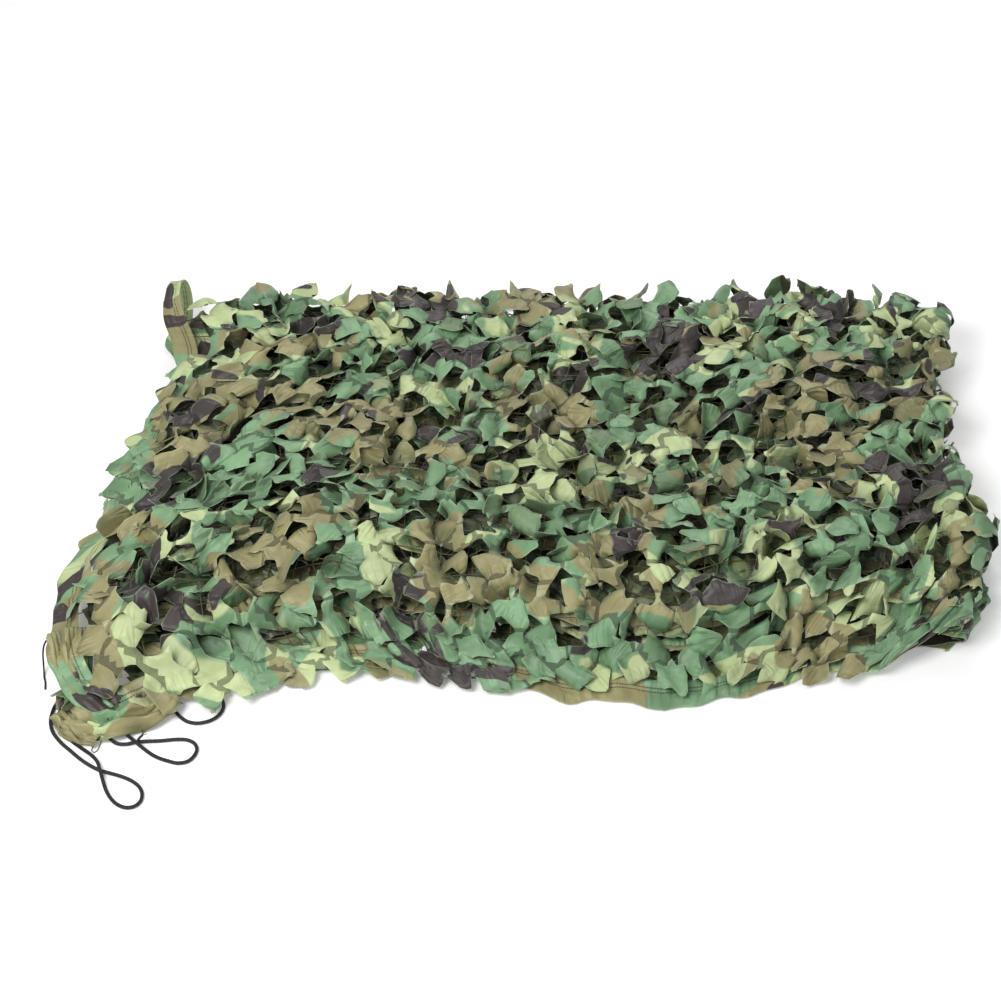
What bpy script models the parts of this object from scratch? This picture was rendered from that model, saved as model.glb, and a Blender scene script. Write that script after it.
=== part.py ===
"""Camouflage net, 3 m by 2 m, folded in half twice and laid flat as a loose rectangular pile.

The open netting is one sheet with its bulk as thickness. Four narrow border strips run round its
edges, and black cords come out at the front left, where the four corners of the net meet.
Metres, +Z up, +X to the right, +Y away from the open front edge. The floor is z = 0.
"""
import math

import bpy
import numpy as np

# Driving dimensions of the flat net
NET_LENGTH = 3.0
NET_WIDTH = 2.0
BORDER_WIDTH = 0.045
BORDER_THICKNESS = 0.003
NETTING_THICKNESS = 0.010
PIECE_GAP = 0.0010

# Folds: the right one turns between neighbouring layers, the far one goes round the whole pile
RIGHT_FOLD_RADIUS = 0.0135
FAR_FOLD_RADIUS = 0.045
LOWEST_MIDDLE = NETTING_THICKNESS / 2

# How finely the sheet is divided, and how much closer together its stations are at a leg's ends
SEGMENTS_LONG_LEG = 20
SEGMENTS_RIGHT_FOLD = 6
SEGMENTS_SHORT_LEG = 14
SEGMENTS_FAR_FOLD = 8
END_CROWDING = 0.4

# Outer left edge, x of each layer, by its share of the way from the front to the far fold.
# The outer sheet lies lowest and highest, the inner one is folded inside it.
LEFT_EDGE = (
    # depth, outer_low, inner_low, inner_high, outer_high
    (0.00, -0.620, -0.615, -0.655, -0.680),
    (0.10, -0.690, -0.685, -0.720, -0.758),
    (0.20, -0.735, -0.712, -0.732, -0.785),
    (0.35, -0.742, -0.706, -0.718, -0.772),
    (0.45, -0.715, -0.682, -0.688, -0.732),
    (0.60, -0.712, -0.676, -0.682, -0.722),
    (0.75, -0.676, -0.640, -0.645, -0.680),
    (0.90, -0.655, -0.624, -0.628, -0.658),
    (1.00, -0.690, -0.660, -0.660, -0.690),
)

# Outer front edge, y of each layer, by its share of the way from the left to the right fold
FRONT_EDGE = (
    # width, outer_low, inner_low, inner_high, outer_high
    (0.000, -0.436, -0.370, -0.345, -0.526),
    (0.066, -0.414, -0.345, -0.325, -0.474),
    (0.130, -0.375, -0.318, -0.300, -0.430),
    (0.200, -0.335, -0.280, -0.265, -0.390),
    (0.320, -0.315, -0.260, -0.245, -0.370),
    (0.400, -0.333, -0.278, -0.263, -0.388),
    (0.490, -0.357, -0.302, -0.287, -0.412),
    (0.550, -0.395, -0.340, -0.325, -0.450),
    (0.600, -0.392, -0.337, -0.322, -0.447),
    (0.660, -0.403, -0.348, -0.333, -0.459),
    (0.730, -0.387, -0.332, -0.317, -0.442),
    (0.800, -0.350, -0.295, -0.280, -0.404),
    (0.860, -0.326, -0.275, -0.262, -0.380),
    (0.910, -0.335, -0.285, -0.262, -0.384),
    (0.950, -0.325, -0.300, -0.284, -0.360),
    (1.000, -0.318, -0.318, -0.326, -0.330),
)

# Outermost x of the right fold, by depth, for the lower and the upper pair of layers
RIGHT_FOLD = (
    # depth, low, high
    (0.00, 0.712, 0.700),
    (0.10, 0.752, 0.742),
    (0.22, 0.776, 0.768),
    (0.36, 0.756, 0.752),
    (0.52, 0.738, 0.734),
    (0.68, 0.748, 0.744),
    (0.84, 0.764, 0.762),
    (1.00, 0.784, 0.784),
)

# Outermost y of the far fold, by width
FAR_FOLD = (
    # width, y
    (0.00, 0.524),
    (0.12, 0.506),
    (0.30, 0.514),
    (0.50, 0.520),
    (0.70, 0.522),
    (0.88, 0.516),
    (1.00, 0.500),
)

# The pile is fuller in places: height added as a share of its own
HEIGHT_CHANGES = (
    # x, y, reach, share
    (-0.66, 0.46, 0.13, 0.26),
    (-0.42, 0.20, 0.22, 0.10),
    (-0.05, 0.34, 0.24, 0.12),
    (0.42, 0.30, 0.26, 0.14),
    (0.20, -0.12, 0.24, 0.12),
    (-0.40, -0.14, 0.22, 0.08),
    (0.62, -0.16, 0.20, 0.08),
    (0.02, 0.10, 0.13, -0.10),
    (-0.18, -0.02, 0.12, -0.06),
    (0.48, 0.02, 0.12, -0.06),
)
# Long soft ripples, left where the cloth is not pulled flat
RIPPLES = (
    # wavelength, heading in degrees, share
    (0.46, 24.0, 0.030),
    (0.33, -58.0, 0.026),
    (0.27, 78.0, 0.020),
)
# The lines along which the pile sinks: the top sheet's front edge, with the share of the height that
# is lost there, and its left edge
FRONT_LINE = (
    # x, y, share of the height that is lost
    (-0.800, -0.545, 0.800),
    (-0.680, -0.526, 0.800),
    (-0.590, -0.474, 0.800),
    (-0.500, -0.430, 0.930),
    (-0.407, -0.390, 0.980),
    (-0.243, -0.370, 0.985),
    (-0.133, -0.388, 0.985),
    (-0.010, -0.412, 0.985),
    (0.072, -0.450, 0.985),
    (0.140, -0.447, 0.985),
    (0.222, -0.459, 0.985),
    (0.318, -0.442, 0.985),
    (0.413, -0.404, 0.980),
    (0.495, -0.380, 0.950),
    (0.563, -0.384, 0.820),
    (0.618, -0.362, 0.600),
    (0.687, -0.330, 0.350),
    (0.800, -0.300, 0.260),
)
LEFT_LINE = (
    # y, x
    (-0.680, -0.600),
    (-0.520, -0.680),
    (-0.420, -0.758),
    (-0.320, -0.785),
    (-0.170, -0.772),
    (-0.070, -0.732),
    (0.080, -0.722),
    (0.230, -0.680),
    (0.380, -0.658),
    (0.480, -0.690),
    (0.560, -0.700),
)
FRONT_REACH = 0.115
SIDE_SINK = 0.50
SIDE_REACH = 0.10

# Cords
LOOP_DIAMETER = 0.006
TIE_DIAMETER = 0.003
LOOP_POINT_SPACING = 2.0

# Routes of the cords as they lie, x, y, z of the cord's centre
LOOP_A_ROUTE = (
    (-0.7340, -0.4240, 0.0140),
    (-0.7480, -0.4330, 0.0070),
    (-0.7590, -0.4470, 0.0036),
    (-0.7630, -0.4660, 0.0032),
    (-0.7630, -0.4860, 0.0032),
    (-0.7570, -0.5070, 0.0032),
    (-0.7434, -0.5270, 0.0032),
    (-0.7216, -0.5490, 0.0032),
    (-0.7000, -0.5690, 0.0032),
    (-0.6820, -0.5820, 0.0032),
    (-0.6699, -0.5885, 0.0032),
    (-0.6540, -0.5940, 0.0032),
    (-0.6365, -0.6002, 0.0032),
    (-0.6170, -0.6107, 0.0032),
    (-0.6050, -0.6223, 0.0032),
    (-0.5989, -0.6384, 0.0032),
    (-0.6006, -0.6513, 0.0032),
    (-0.6084, -0.6601, 0.0032),
    (-0.6200, -0.6625, 0.0032),
    (-0.6335, -0.6572, 0.0032),
    (-0.6451, -0.6458, 0.0032),
    (-0.6551, -0.6295, 0.0036),
    (-0.6622, -0.6121, 0.0064),
    (-0.6690, -0.5929, 0.0100),
    (-0.6750, -0.5775, 0.0100),
    (-0.6880, -0.5595, 0.0064),
    (-0.7046, -0.5440, 0.0036),
    (-0.7236, -0.5275, 0.0032),
    (-0.7400, -0.5080, 0.0032),
    (-0.7495, -0.4880, 0.0032),
    (-0.7520, -0.4700, 0.0036),
    (-0.7460, -0.4540, 0.0060),
    (-0.7350, -0.4440, 0.0100),
    (-0.7220, -0.4380, 0.0140),
)
LOOP_B_ROUTE = (
    (-0.6640, -0.5240, 0.0046),
    (-0.6520, -0.5330, 0.0034),
    (-0.6361, -0.5343, 0.0032),
    (-0.6229, -0.5305, 0.0032),
    (-0.6047, -0.5286, 0.0032),
    (-0.5817, -0.5272, 0.0032),
    (-0.5590, -0.5245, 0.0032),
    (-0.5427, -0.5255, 0.0032),
    (-0.5304, -0.5326, 0.0032),
    (-0.5249, -0.5448, 0.0032),
    (-0.5277, -0.5584, 0.0032),
    (-0.5370, -0.5700, 0.0032),
    (-0.5510, -0.5734, 0.0032),
    (-0.5677, -0.5690, 0.0032),
    (-0.5894, -0.5594, 0.0036),
    (-0.6069, -0.5475, 0.0066),
    (-0.6223, -0.5347, 0.0100),
    (-0.6328, -0.5235, 0.0080),
    (-0.6431, -0.5115, 0.0046),
    (-0.6530, -0.5020, 0.0046),
)
LOOP_C_ROUTE = (
    (-0.5900, -0.4300, 0.0060),
    (-0.5807, -0.4450, 0.0044),
    (-0.5709, -0.4599, 0.0032),
    (-0.5599, -0.4755, 0.0032),
    (-0.5470, -0.4864, 0.0032),
    (-0.5326, -0.4904, 0.0032),
    (-0.5167, -0.4878, 0.0032),
    (-0.5035, -0.4802, 0.0032),
    (-0.4952, -0.4691, 0.0032),
    (-0.4918, -0.4566, 0.0032),
    (-0.4939, -0.4450, 0.0040),
    (-0.5003, -0.4350, 0.0046),
)
TIE_ROUTE = (
    (-0.7860, -0.3480, 0.0440),
    (-0.7885, -0.3560, 0.0420),
    (-0.7905, -0.3640, 0.0320),
    (-0.7910, -0.3700, 0.0180),
    (-0.7905, -0.3770, 0.0070),
    (-0.7890, -0.3880, 0.0021),
    (-0.7850, -0.4020, 0.0021),
    (-0.7830, -0.4160, 0.0021),
)

# Finishes
GARNISH_GREEN = (0.17, 0.27, 0.14, 1.0)
BORDER_KHAKI = (0.22, 0.19, 0.10, 1.0)
CORD_BLACK = (0.010, 0.012, 0.014, 1.0)
CLOTH_ROUGHNESS = 0.62
CORD_ROUGHNESS = 0.55


def clear_scene():
    """Remove whatever the file holds."""
    for item in list(bpy.data.objects):
        bpy.data.objects.remove(item, do_unlink=True)


def cloth_material(name, colour, roughness):
    """A plain non-metallic finish."""
    material = bpy.data.materials.new(name)
    material.use_nodes = True
    shader = material.node_tree.nodes["Principled BSDF"]
    shader.inputs["Base Color"].default_value = colour
    shader.inputs["Roughness"].default_value = roughness
    shader.inputs["Metallic"].default_value = 0.0
    return material


def smooth_curve(stations, values, at):
    """A cubic curve through the values: each span starts and ends on its neighbours' mean slope."""
    stations = np.asarray(stations, float)
    values = np.asarray(values, float)
    slopes = np.gradient(values, stations, axis=0)
    span = np.clip(np.searchsorted(stations, at, side="right") - 1, 0, len(stations) - 2)
    width = stations[span + 1] - stations[span]
    share = (at - stations[span]) / width
    extra = (...,) + (None,) * (values.ndim - 1)
    share, width = share[extra], width[extra]
    start = (1 + 2 * share) * (1 - share) ** 2 * values[span]
    end = share ** 2 * (3 - 2 * share) * values[span + 1]
    leaving = share * (1 - share) ** 2 * width * slopes[span]
    arriving = share ** 2 * (share - 1) * width * slopes[span + 1]
    return start + end + leaving + arriving


def table_columns(table, at):
    """Every column of a table, read smoothly at the given shares of the way along it."""
    rows = np.array(table)
    return smooth_curve(rows[:, 0], rows[:, 1:], at)


def leg_and_turn(along, full_length, radius):
    """Where a distance along a sheet folded in half falls.

    The sheet runs out along a straight leg, turns half round at the radius and runs back.
    Returns the share of the leg that lies behind the point, and the angle turned so far.
    """
    leg = full_length / 2 - math.pi * radius / 2
    turn = np.clip((along - leg) / radius, 0.0, math.pi)
    from_edge = np.minimum(along, full_length - along)
    return np.minimum(from_edge / leg, 1.0), turn


def height_share(x, y):
    """How full the pile is at a place: one, with soft lumps, less near the open left and front.

    Each ripple is a sine wave across its heading. In front the top sheet comes down to the floor,
    and the lower sheets end behind it.
    """
    share = np.ones_like(x)
    for wavelength, heading, change in RIPPLES:
        ahead = x * math.cos(math.radians(heading)) + y * math.sin(math.radians(heading))
        share += change * np.sin(2 * math.pi * ahead / wavelength)
    for lump_x, lump_y, reach, change in HEIGHT_CHANGES:
        share += change * np.exp(-((x - lump_x) ** 2 + (y - lump_y) ** 2) / (reach * reach))
    front_line = table_columns(FRONT_LINE, x)
    behind_front = np.maximum(y - front_line[..., 0], 0.0) / FRONT_REACH
    from_side = np.maximum(x - table_columns(LEFT_LINE, y)[..., 0], 0.0) / SIDE_REACH
    front_sink = front_line[..., 1]
    share *= 1 - front_sink * np.exp(-behind_front ** 2)
    share *= 1 - SIDE_SINK * np.exp(-from_side ** 2)
    return share


def sheet_middle(across, along):
    """The middle of the folded sheet at a place on the flat net.

    Across runs over the net's length and is folded at the right. Along runs over its width and
    is folded at the far side, so it carries the first fold round with it: the inner sheet goes
    round on the same centre at a smaller radius.
    """
    width_share, right_turn = leg_and_turn(across, NET_LENGTH, RIGHT_FOLD_RADIUS)
    depth_share, far_turn = leg_and_turn(along, NET_WIDTH, FAR_FOLD_RADIUS)
    inner = (1 - np.cos(right_turn)) / 2
    upper = (1 - np.cos(far_turn)) / 2

    def layer_value(columns):
        low = columns[..., 0] * (1 - inner) + columns[..., 1] * inner
        high = columns[..., 3] * (1 - inner) + columns[..., 2] * inner
        return low * (1 - upper) + high * upper

    left = layer_value(table_columns(LEFT_EDGE, depth_share))
    front = layer_value(table_columns(FRONT_EDGE, width_share))
    right_pair = table_columns(RIGHT_FOLD, depth_share)
    right = right_pair[..., 0] * (1 - upper) + right_pair[..., 1] * upper
    right_centre = right - RIGHT_FOLD_RADIUS
    far_centre = table_columns(FAR_FOLD, width_share)[..., 0] - FAR_FOLD_RADIUS

    inset = RIGHT_FOLD_RADIUS * (1 - np.cos(right_turn))
    far_radius = FAR_FOLD_RADIUS - inset
    x = left + (right_centre - left) * width_share + RIGHT_FOLD_RADIUS * np.sin(right_turn)
    y = front + (far_centre - front) * depth_share + far_radius * np.sin(far_turn)
    rise = FAR_FOLD_RADIUS - far_radius * np.cos(far_turn)
    z = LOWEST_MIDDLE + rise * height_share(x, y)
    return np.stack([x, y, z], axis=-1)


def sheet_normal(across, along):
    """The unit normal of the folded sheet, towards the inside of the pile."""
    step = 1e-4
    by_across = sheet_middle(across + step, along) - sheet_middle(across - step, along)
    by_along = sheet_middle(across, along + step) - sheet_middle(across, along - step)
    normal = np.cross(by_across, by_along)
    return normal / np.linalg.norm(normal, axis=-1, keepdims=True)


def stations_round_fold(full_length, radius, leg_segments, fold_segments, start, end):
    """Places along a folded sheet: closer together near its open edges and near the fold."""
    leg = full_length / 2 - math.pi * radius / 2
    even = np.linspace(0.0, 1.0, leg_segments + 1)
    share = even - END_CROWDING * np.sin(2 * math.pi * even) / (2 * math.pi)
    out = start + (leg - start) * share
    turn = np.linspace(leg, full_length - leg, fold_segments + 1)
    back = (end - (end - full_length + leg) * share)[::-1]
    return np.concatenate([out[:-1], turn, back[1:]])


def folded_solid(name, across, along, outer, inner, material):
    """A closed solid: the folded sheet between two offsets from its middle.

    The offsets are measured along the normal towards the inside of the pile.
    """
    across_grid, along_grid = np.meshgrid(across, along, indexing="ij")
    middle = sheet_middle(across_grid, along_grid)
    normal = sheet_normal(across_grid, along_grid)
    faces_out = (middle + outer * normal).reshape(-1, 3)
    faces_in = (middle + inner * normal).reshape(-1, 3)
    columns = len(along)
    rows = len(across)
    count = rows * columns
    index = np.arange(count).reshape(rows, columns)
    corners = np.stack([index[:-1, :-1], index[1:, :-1], index[1:, 1:], index[:-1, 1:]], axis=-1)
    outside = corners[..., ::-1].reshape(-1, 4)
    inside = corners.reshape(-1, 4) + count
    rim = np.concatenate([index[:-1, 0], index[-1, :-1], index[:0:-1, -1], index[0, :0:-1]])
    ahead = np.roll(rim, -1)
    sides = np.stack([rim, ahead, ahead + count, rim + count], axis=-1)
    faces = np.concatenate([outside, inside, sides]).tolist()
    mesh = bpy.data.meshes.new(name)
    mesh.from_pydata(np.concatenate([faces_out, faces_in]).tolist(), [], faces)
    mesh.materials.append(material)
    mesh.update()
    solid = bpy.data.objects.new(name, mesh)
    bpy.context.collection.objects.link(solid)
    return solid


def add_netting(material):
    """The open netting, inside the four borders."""
    edge = BORDER_WIDTH + PIECE_GAP
    across = stations_round_fold(
        NET_LENGTH, RIGHT_FOLD_RADIUS, SEGMENTS_LONG_LEG, SEGMENTS_RIGHT_FOLD, edge, NET_LENGTH - edge)
    along = stations_round_fold(
        NET_WIDTH, FAR_FOLD_RADIUS, SEGMENTS_SHORT_LEG, SEGMENTS_FAR_FOLD, edge, NET_WIDTH - edge)
    half = NETTING_THICKNESS / 2
    folded_solid("netting", across, along, -half, half, material)
    return across, along


def add_borders(across, along, material):
    """The four border strips, level with the netting's outer face.

    The two long strips run the whole length and take the corners, and the short ones fit between.
    The upper long one is halfway between the faces instead, so that it lies lower in front.
    """
    outer = -NETTING_THICKNESS / 2
    inner = outer + BORDER_THICKNESS
    full_across = np.concatenate([[0.0, BORDER_WIDTH], across, [NET_LENGTH - BORDER_WIDTH, NET_LENGTH]])
    strip = np.array([0.0, BORDER_WIDTH])
    folded_solid("border_long_lower", full_across, strip, outer, inner, material)
    half = BORDER_THICKNESS / 2
    folded_solid("border_long_upper", full_across, NET_WIDTH - strip[::-1], -half, half, material)
    folded_solid("border_short_outer", strip, along, outer, inner, material)
    folded_solid("border_short_inner", NET_LENGTH - strip[::-1], along, outer, inner, material)


def add_cord(name, route, diameter, material):
    """A round cord along a smooth curve through its route, with a point every few diameters."""
    places = np.array(route)
    steps = np.linalg.norm(np.diff(places, axis=0), axis=1)
    distance = np.concatenate([[0.0], np.cumsum(steps)])
    count = max(int(round(distance[-1] / (LOOP_POINT_SPACING * diameter))), 4)
    points = smooth_curve(distance, places, np.linspace(0.0, distance[-1], count + 1))
    curve = bpy.data.curves.new(name, "CURVE")
    curve.dimensions = "3D"
    curve.bevel_depth = diameter / 2
    curve.bevel_resolution = 2
    curve.use_fill_caps = True
    spline = curve.splines.new("POLY")
    spline.points.add(len(points) - 1)
    for point, place in zip(spline.points, points):
        point.co = (*place, 1.0)
    curve.materials.append(material)
    cord = bpy.data.objects.new(name, curve)
    bpy.context.collection.objects.link(cord)
    return cord


def main():
    clear_scene()
    garnish = cloth_material("garnish_cloth", GARNISH_GREEN, CLOTH_ROUGHNESS)
    border = cloth_material("border_cloth", BORDER_KHAKI, CLOTH_ROUGHNESS)
    black = cloth_material("black_cord", CORD_BLACK, CORD_ROUGHNESS)
    across, along = add_netting(garnish)
    add_borders(across, along, border)
    add_cord("cord_loop_a", LOOP_A_ROUTE, LOOP_DIAMETER, black)
    add_cord("cord_loop_b", LOOP_B_ROUTE, LOOP_DIAMETER, black)
    add_cord("cord_loop_c", LOOP_C_ROUTE, LOOP_DIAMETER, black)
    add_cord("cord_tie", TIE_ROUTE, TIE_DIAMETER, black)


main()
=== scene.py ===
"""Looks of a folded camouflage net: slit leaf cloth on string mesh, sewn borders and black cord loops.

Every surface is worked out as whole arrays from a few sizes. The cloth is first laid out flat, slit into
leaves, relaxed as a crumpled sheet, and then carried onto the net's two folds.
"""
import math

import bpy
import numpy as np
from bpy.props import FloatProperty, FloatVectorProperty, IntProperty, PointerProperty
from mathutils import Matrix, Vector


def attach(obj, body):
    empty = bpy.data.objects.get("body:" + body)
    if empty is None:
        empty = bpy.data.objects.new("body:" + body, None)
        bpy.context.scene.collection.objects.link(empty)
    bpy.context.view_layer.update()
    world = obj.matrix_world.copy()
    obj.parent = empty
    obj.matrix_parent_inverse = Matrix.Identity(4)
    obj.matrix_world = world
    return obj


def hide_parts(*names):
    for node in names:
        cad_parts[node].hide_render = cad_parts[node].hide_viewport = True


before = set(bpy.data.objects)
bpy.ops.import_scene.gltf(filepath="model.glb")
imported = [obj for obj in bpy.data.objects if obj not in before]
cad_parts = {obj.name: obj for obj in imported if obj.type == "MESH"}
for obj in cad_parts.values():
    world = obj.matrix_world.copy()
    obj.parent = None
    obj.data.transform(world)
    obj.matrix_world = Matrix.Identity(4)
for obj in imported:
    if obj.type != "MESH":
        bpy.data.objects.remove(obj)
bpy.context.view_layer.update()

bl_info = {
    "name": "Folded Camouflage Net",
    "version": (1, 0, 0),
    "blender": (4, 5, 0),
    "location": "3D View > Sidebar > Camo Net",
    "description": "Slit leaf cloth, string mesh, sewn borders and cords of a net folded in four",
    "category": "Object",
}

# ------------------------------------------------------------------ sizes of the flat net and its folds
NET_LENGTH, NET_WIDTH, BORDER_WIDTH = 3.0, 2.0, 0.045
RIGHT_FOLD_RADIUS, FAR_FOLD_RADIUS = 0.0135, 0.045
LOWEST_MIDDLE = 0.005

LEFT_EDGE = (  # depth, outer_low, inner_low, inner_high, outer_high
    (0.0, -0.62, -0.615, -0.655, -0.68), (0.1, -0.69, -0.685, -0.72, -0.758),
    (0.2, -0.735, -0.712, -0.732, -0.785), (0.35, -0.742, -0.706, -0.718, -0.772),
    (0.45, -0.715, -0.682, -0.688, -0.732), (0.6, -0.712, -0.676, -0.682, -0.722),
    (0.75, -0.676, -0.64, -0.645, -0.68), (0.9, -0.655, -0.624, -0.628, -0.658),
    (1.0, -0.69, -0.66, -0.66, -0.69),
)
FRONT_EDGE = (  # width, outer_low, inner_low, inner_high, outer_high
    (0.0, -0.436, -0.37, -0.345, -0.526), (0.066, -0.414, -0.345, -0.325, -0.474),
    (0.13, -0.375, -0.318, -0.3, -0.43), (0.2, -0.335, -0.28, -0.265, -0.39),
    (0.32, -0.315, -0.26, -0.245, -0.37), (0.4, -0.333, -0.278, -0.263, -0.388),
    (0.49, -0.357, -0.302, -0.287, -0.412), (0.55, -0.395, -0.34, -0.325, -0.45),
    (0.6, -0.392, -0.337, -0.322, -0.447), (0.66, -0.403, -0.348, -0.333, -0.459),
    (0.73, -0.387, -0.332, -0.317, -0.442), (0.8, -0.35, -0.295, -0.28, -0.404),
    (0.86, -0.326, -0.275, -0.262, -0.38), (0.91, -0.335, -0.285, -0.262, -0.384),
    (0.95, -0.325, -0.3, -0.284, -0.36), (1.0, -0.318, -0.318, -0.326, -0.33),
)
RIGHT_FOLD = (  # depth, low, high
    (0.0, 0.712, 0.7), (0.1, 0.752, 0.742), (0.22, 0.776, 0.768), (0.36, 0.756, 0.752),
    (0.52, 0.738, 0.734), (0.68, 0.748, 0.744), (0.84, 0.764, 0.762), (1.0, 0.784, 0.784),
)
FAR_FOLD = (  # width, y
    (0.0, 0.524), (0.12, 0.506), (0.3, 0.514), (0.5, 0.52), (0.7, 0.522), (0.88, 0.516), (1.0, 0.5),
)
HEIGHT_CHANGES = (  # x, y, reach, share
    (-0.66, 0.46, 0.13, 0.26), (-0.42, 0.2, 0.22, 0.1), (-0.05, 0.34, 0.24, 0.12), (0.42, 0.3, 0.26, 0.14),
    (0.2, -0.12, 0.24, 0.12), (-0.4, -0.14, 0.22, 0.08), (0.62, -0.16, 0.2, 0.08), (0.02, 0.1, 0.13, -0.1),
    (-0.18, -0.02, 0.12, -0.06), (0.48, 0.02, 0.12, -0.06),
)
RIPPLES = (  # wavelength, heading in degrees, share
    (0.46, 24.0, 0.03), (0.33, -58.0, 0.026), (0.27, 78.0, 0.02),
)
# The lines along which the pile sinks, at the top sheet's front and left edges
FRONT_LINE = (  # x, y, share of the height that is lost
    (-0.8, -0.545, 0.8), (-0.68, -0.526, 0.8), (-0.59, -0.474, 0.8), (-0.5, -0.43, 0.93),
    (-0.407, -0.39, 0.98), (-0.243, -0.37, 0.985), (-0.133, -0.388, 0.985), (-0.01, -0.412, 0.985),
    (0.072, -0.45, 0.985), (0.14, -0.447, 0.985), (0.222, -0.459, 0.985), (0.318, -0.442, 0.985),
    (0.413, -0.404, 0.98), (0.495, -0.38, 0.95), (0.563, -0.384, 0.82), (0.618, -0.362, 0.6),
    (0.687, -0.33, 0.35), (0.8, -0.3, 0.26),
)
LEFT_LINE = (  # y, x
    (-0.68, -0.6), (-0.52, -0.68), (-0.42, -0.758), (-0.32, -0.785), (-0.17, -0.772), (-0.07, -0.732),
    (0.08, -0.722), (0.23, -0.68), (0.38, -0.658), (0.48, -0.69), (0.56, -0.7),
)
FRONT_REACH, SIDE_REACH, SIDE_SINK = 0.115, 0.10, 0.50

# ------------------------------------------------------------------ cords, as they lie
LOOP_DIAMETER, TIE_DIAMETER = 0.006, 0.003
RING_SPACING, END_LENGTH = 0.45, 0.3  # in diameters: from ring to ring, and the rounded ends
LOOP_A_ROUTE = (
    (-0.734, -0.424, 0.014), (-0.748, -0.433, 0.007), (-0.759, -0.447, 0.0036), (-0.763, -0.466, 0.0032),
    (-0.763, -0.486, 0.0032), (-0.757, -0.507, 0.0032), (-0.7434, -0.527, 0.0032),
    (-0.7216, -0.549, 0.0032), (-0.7, -0.569, 0.0032), (-0.682, -0.582, 0.0032), (-0.6699, -0.5885, 0.0032),
    (-0.654, -0.594, 0.0032), (-0.6365, -0.6002, 0.0032), (-0.617, -0.6107, 0.0032),
    (-0.605, -0.6223, 0.0032), (-0.5989, -0.6384, 0.0032), (-0.6006, -0.6513, 0.0032),
    (-0.6084, -0.6601, 0.0032), (-0.62, -0.6625, 0.0032), (-0.6335, -0.6572, 0.0032),
    (-0.6451, -0.6458, 0.0032), (-0.6551, -0.6295, 0.0036), (-0.6622, -0.6121, 0.0064),
    (-0.669, -0.5929, 0.01), (-0.675, -0.5775, 0.01), (-0.688, -0.5595, 0.0064), (-0.7046, -0.544, 0.0036),
    (-0.7236, -0.5275, 0.0032), (-0.74, -0.508, 0.0032), (-0.7495, -0.488, 0.0032), (-0.752, -0.47, 0.0036),
    (-0.746, -0.454, 0.006), (-0.735, -0.444, 0.01), (-0.722, -0.438, 0.014),
)
LOOP_B_ROUTE = (
    (-0.664, -0.524, 0.0046), (-0.652, -0.533, 0.0034), (-0.6361, -0.5343, 0.0032),
    (-0.6229, -0.5305, 0.0032), (-0.6047, -0.5286, 0.0032), (-0.5817, -0.5272, 0.0032),
    (-0.559, -0.5245, 0.0032), (-0.5427, -0.5255, 0.0032), (-0.5304, -0.5326, 0.0032),
    (-0.5249, -0.5448, 0.0032), (-0.5277, -0.5584, 0.0032), (-0.537, -0.57, 0.0032),
    (-0.551, -0.5734, 0.0032), (-0.5677, -0.569, 0.0032), (-0.5894, -0.5594, 0.0036),
    (-0.6069, -0.5475, 0.0066), (-0.6223, -0.5347, 0.01), (-0.6328, -0.5235, 0.008),
    (-0.6431, -0.5115, 0.0046), (-0.653, -0.502, 0.0046),
)
LOOP_C_ROUTE = (
    (-0.59, -0.43, 0.006), (-0.5807, -0.445, 0.0044), (-0.5709, -0.4599, 0.0032),
    (-0.5599, -0.4755, 0.0032), (-0.547, -0.4864, 0.0032), (-0.5326, -0.4904, 0.0032),
    (-0.5167, -0.4878, 0.0032), (-0.5035, -0.4802, 0.0032), (-0.4952, -0.4691, 0.0032),
    (-0.4918, -0.4566, 0.0032), (-0.4939, -0.445, 0.004), (-0.5003, -0.435, 0.0046),
)
TIE_ROUTE = (
    (-0.786, -0.348, 0.044), (-0.7885, -0.356, 0.042), (-0.7905, -0.364, 0.032), (-0.791, -0.37, 0.018),
    (-0.7905, -0.377, 0.007), (-0.789, -0.388, 0.0021), (-0.785, -0.402, 0.0021), (-0.783, -0.416, 0.0021),
)

# A knotted end that stands off the middle loop, and its frayed strands: route and thickness
FRAYED_TAIL = (
    (((-0.6190, -0.5330, 0.0080), (-0.6165, -0.5310, 0.0120), (-0.6135, -0.5285, 0.0145),
      (-0.6110, -0.5262, 0.0150)), 0.0042),
    (((-0.6115, -0.5268, 0.0150), (-0.6098, -0.5240, 0.0162), (-0.6092, -0.5205, 0.0168)), 0.0014),
    (((-0.6115, -0.5265, 0.0155), (-0.6110, -0.5232, 0.0185), (-0.6120, -0.5200, 0.0215)), 0.0013),
    (((-0.6112, -0.5266, 0.0148), (-0.6075, -0.5250, 0.0158), (-0.6042, -0.5238, 0.0150)), 0.0014),
    (((-0.6112, -0.5264, 0.0154), (-0.6084, -0.5236, 0.0178), (-0.6058, -0.5212, 0.0190)), 0.0012),
)

# ------------------------------------------------------------------ borders and string mesh
SEAMS = (0.0275, 0.0335)
STITCH = 0.0045
STRIP_THICKNESS, CORNER_THICKNESS, THREAD_DIAMETER = 0.0016, 0.0009, 0.0016
UNCUT = 0.02  # a distance from the nearest cut edge at which it no longer shows
STRIP_ROWS, STRIP_STEP = 13, 0.0055
# How high each strip lies over the sheet, outwards: at the upper or outer part, and at the rest
STRIP_HEIGHTS = {"border_long_lower": (0.0012, 0.0010), "border_long_upper": (-0.0035, -0.0015),
                 "border_short_outer": (0.0, 0.0), "border_short_inner": (0.0, 0.0)}
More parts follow.
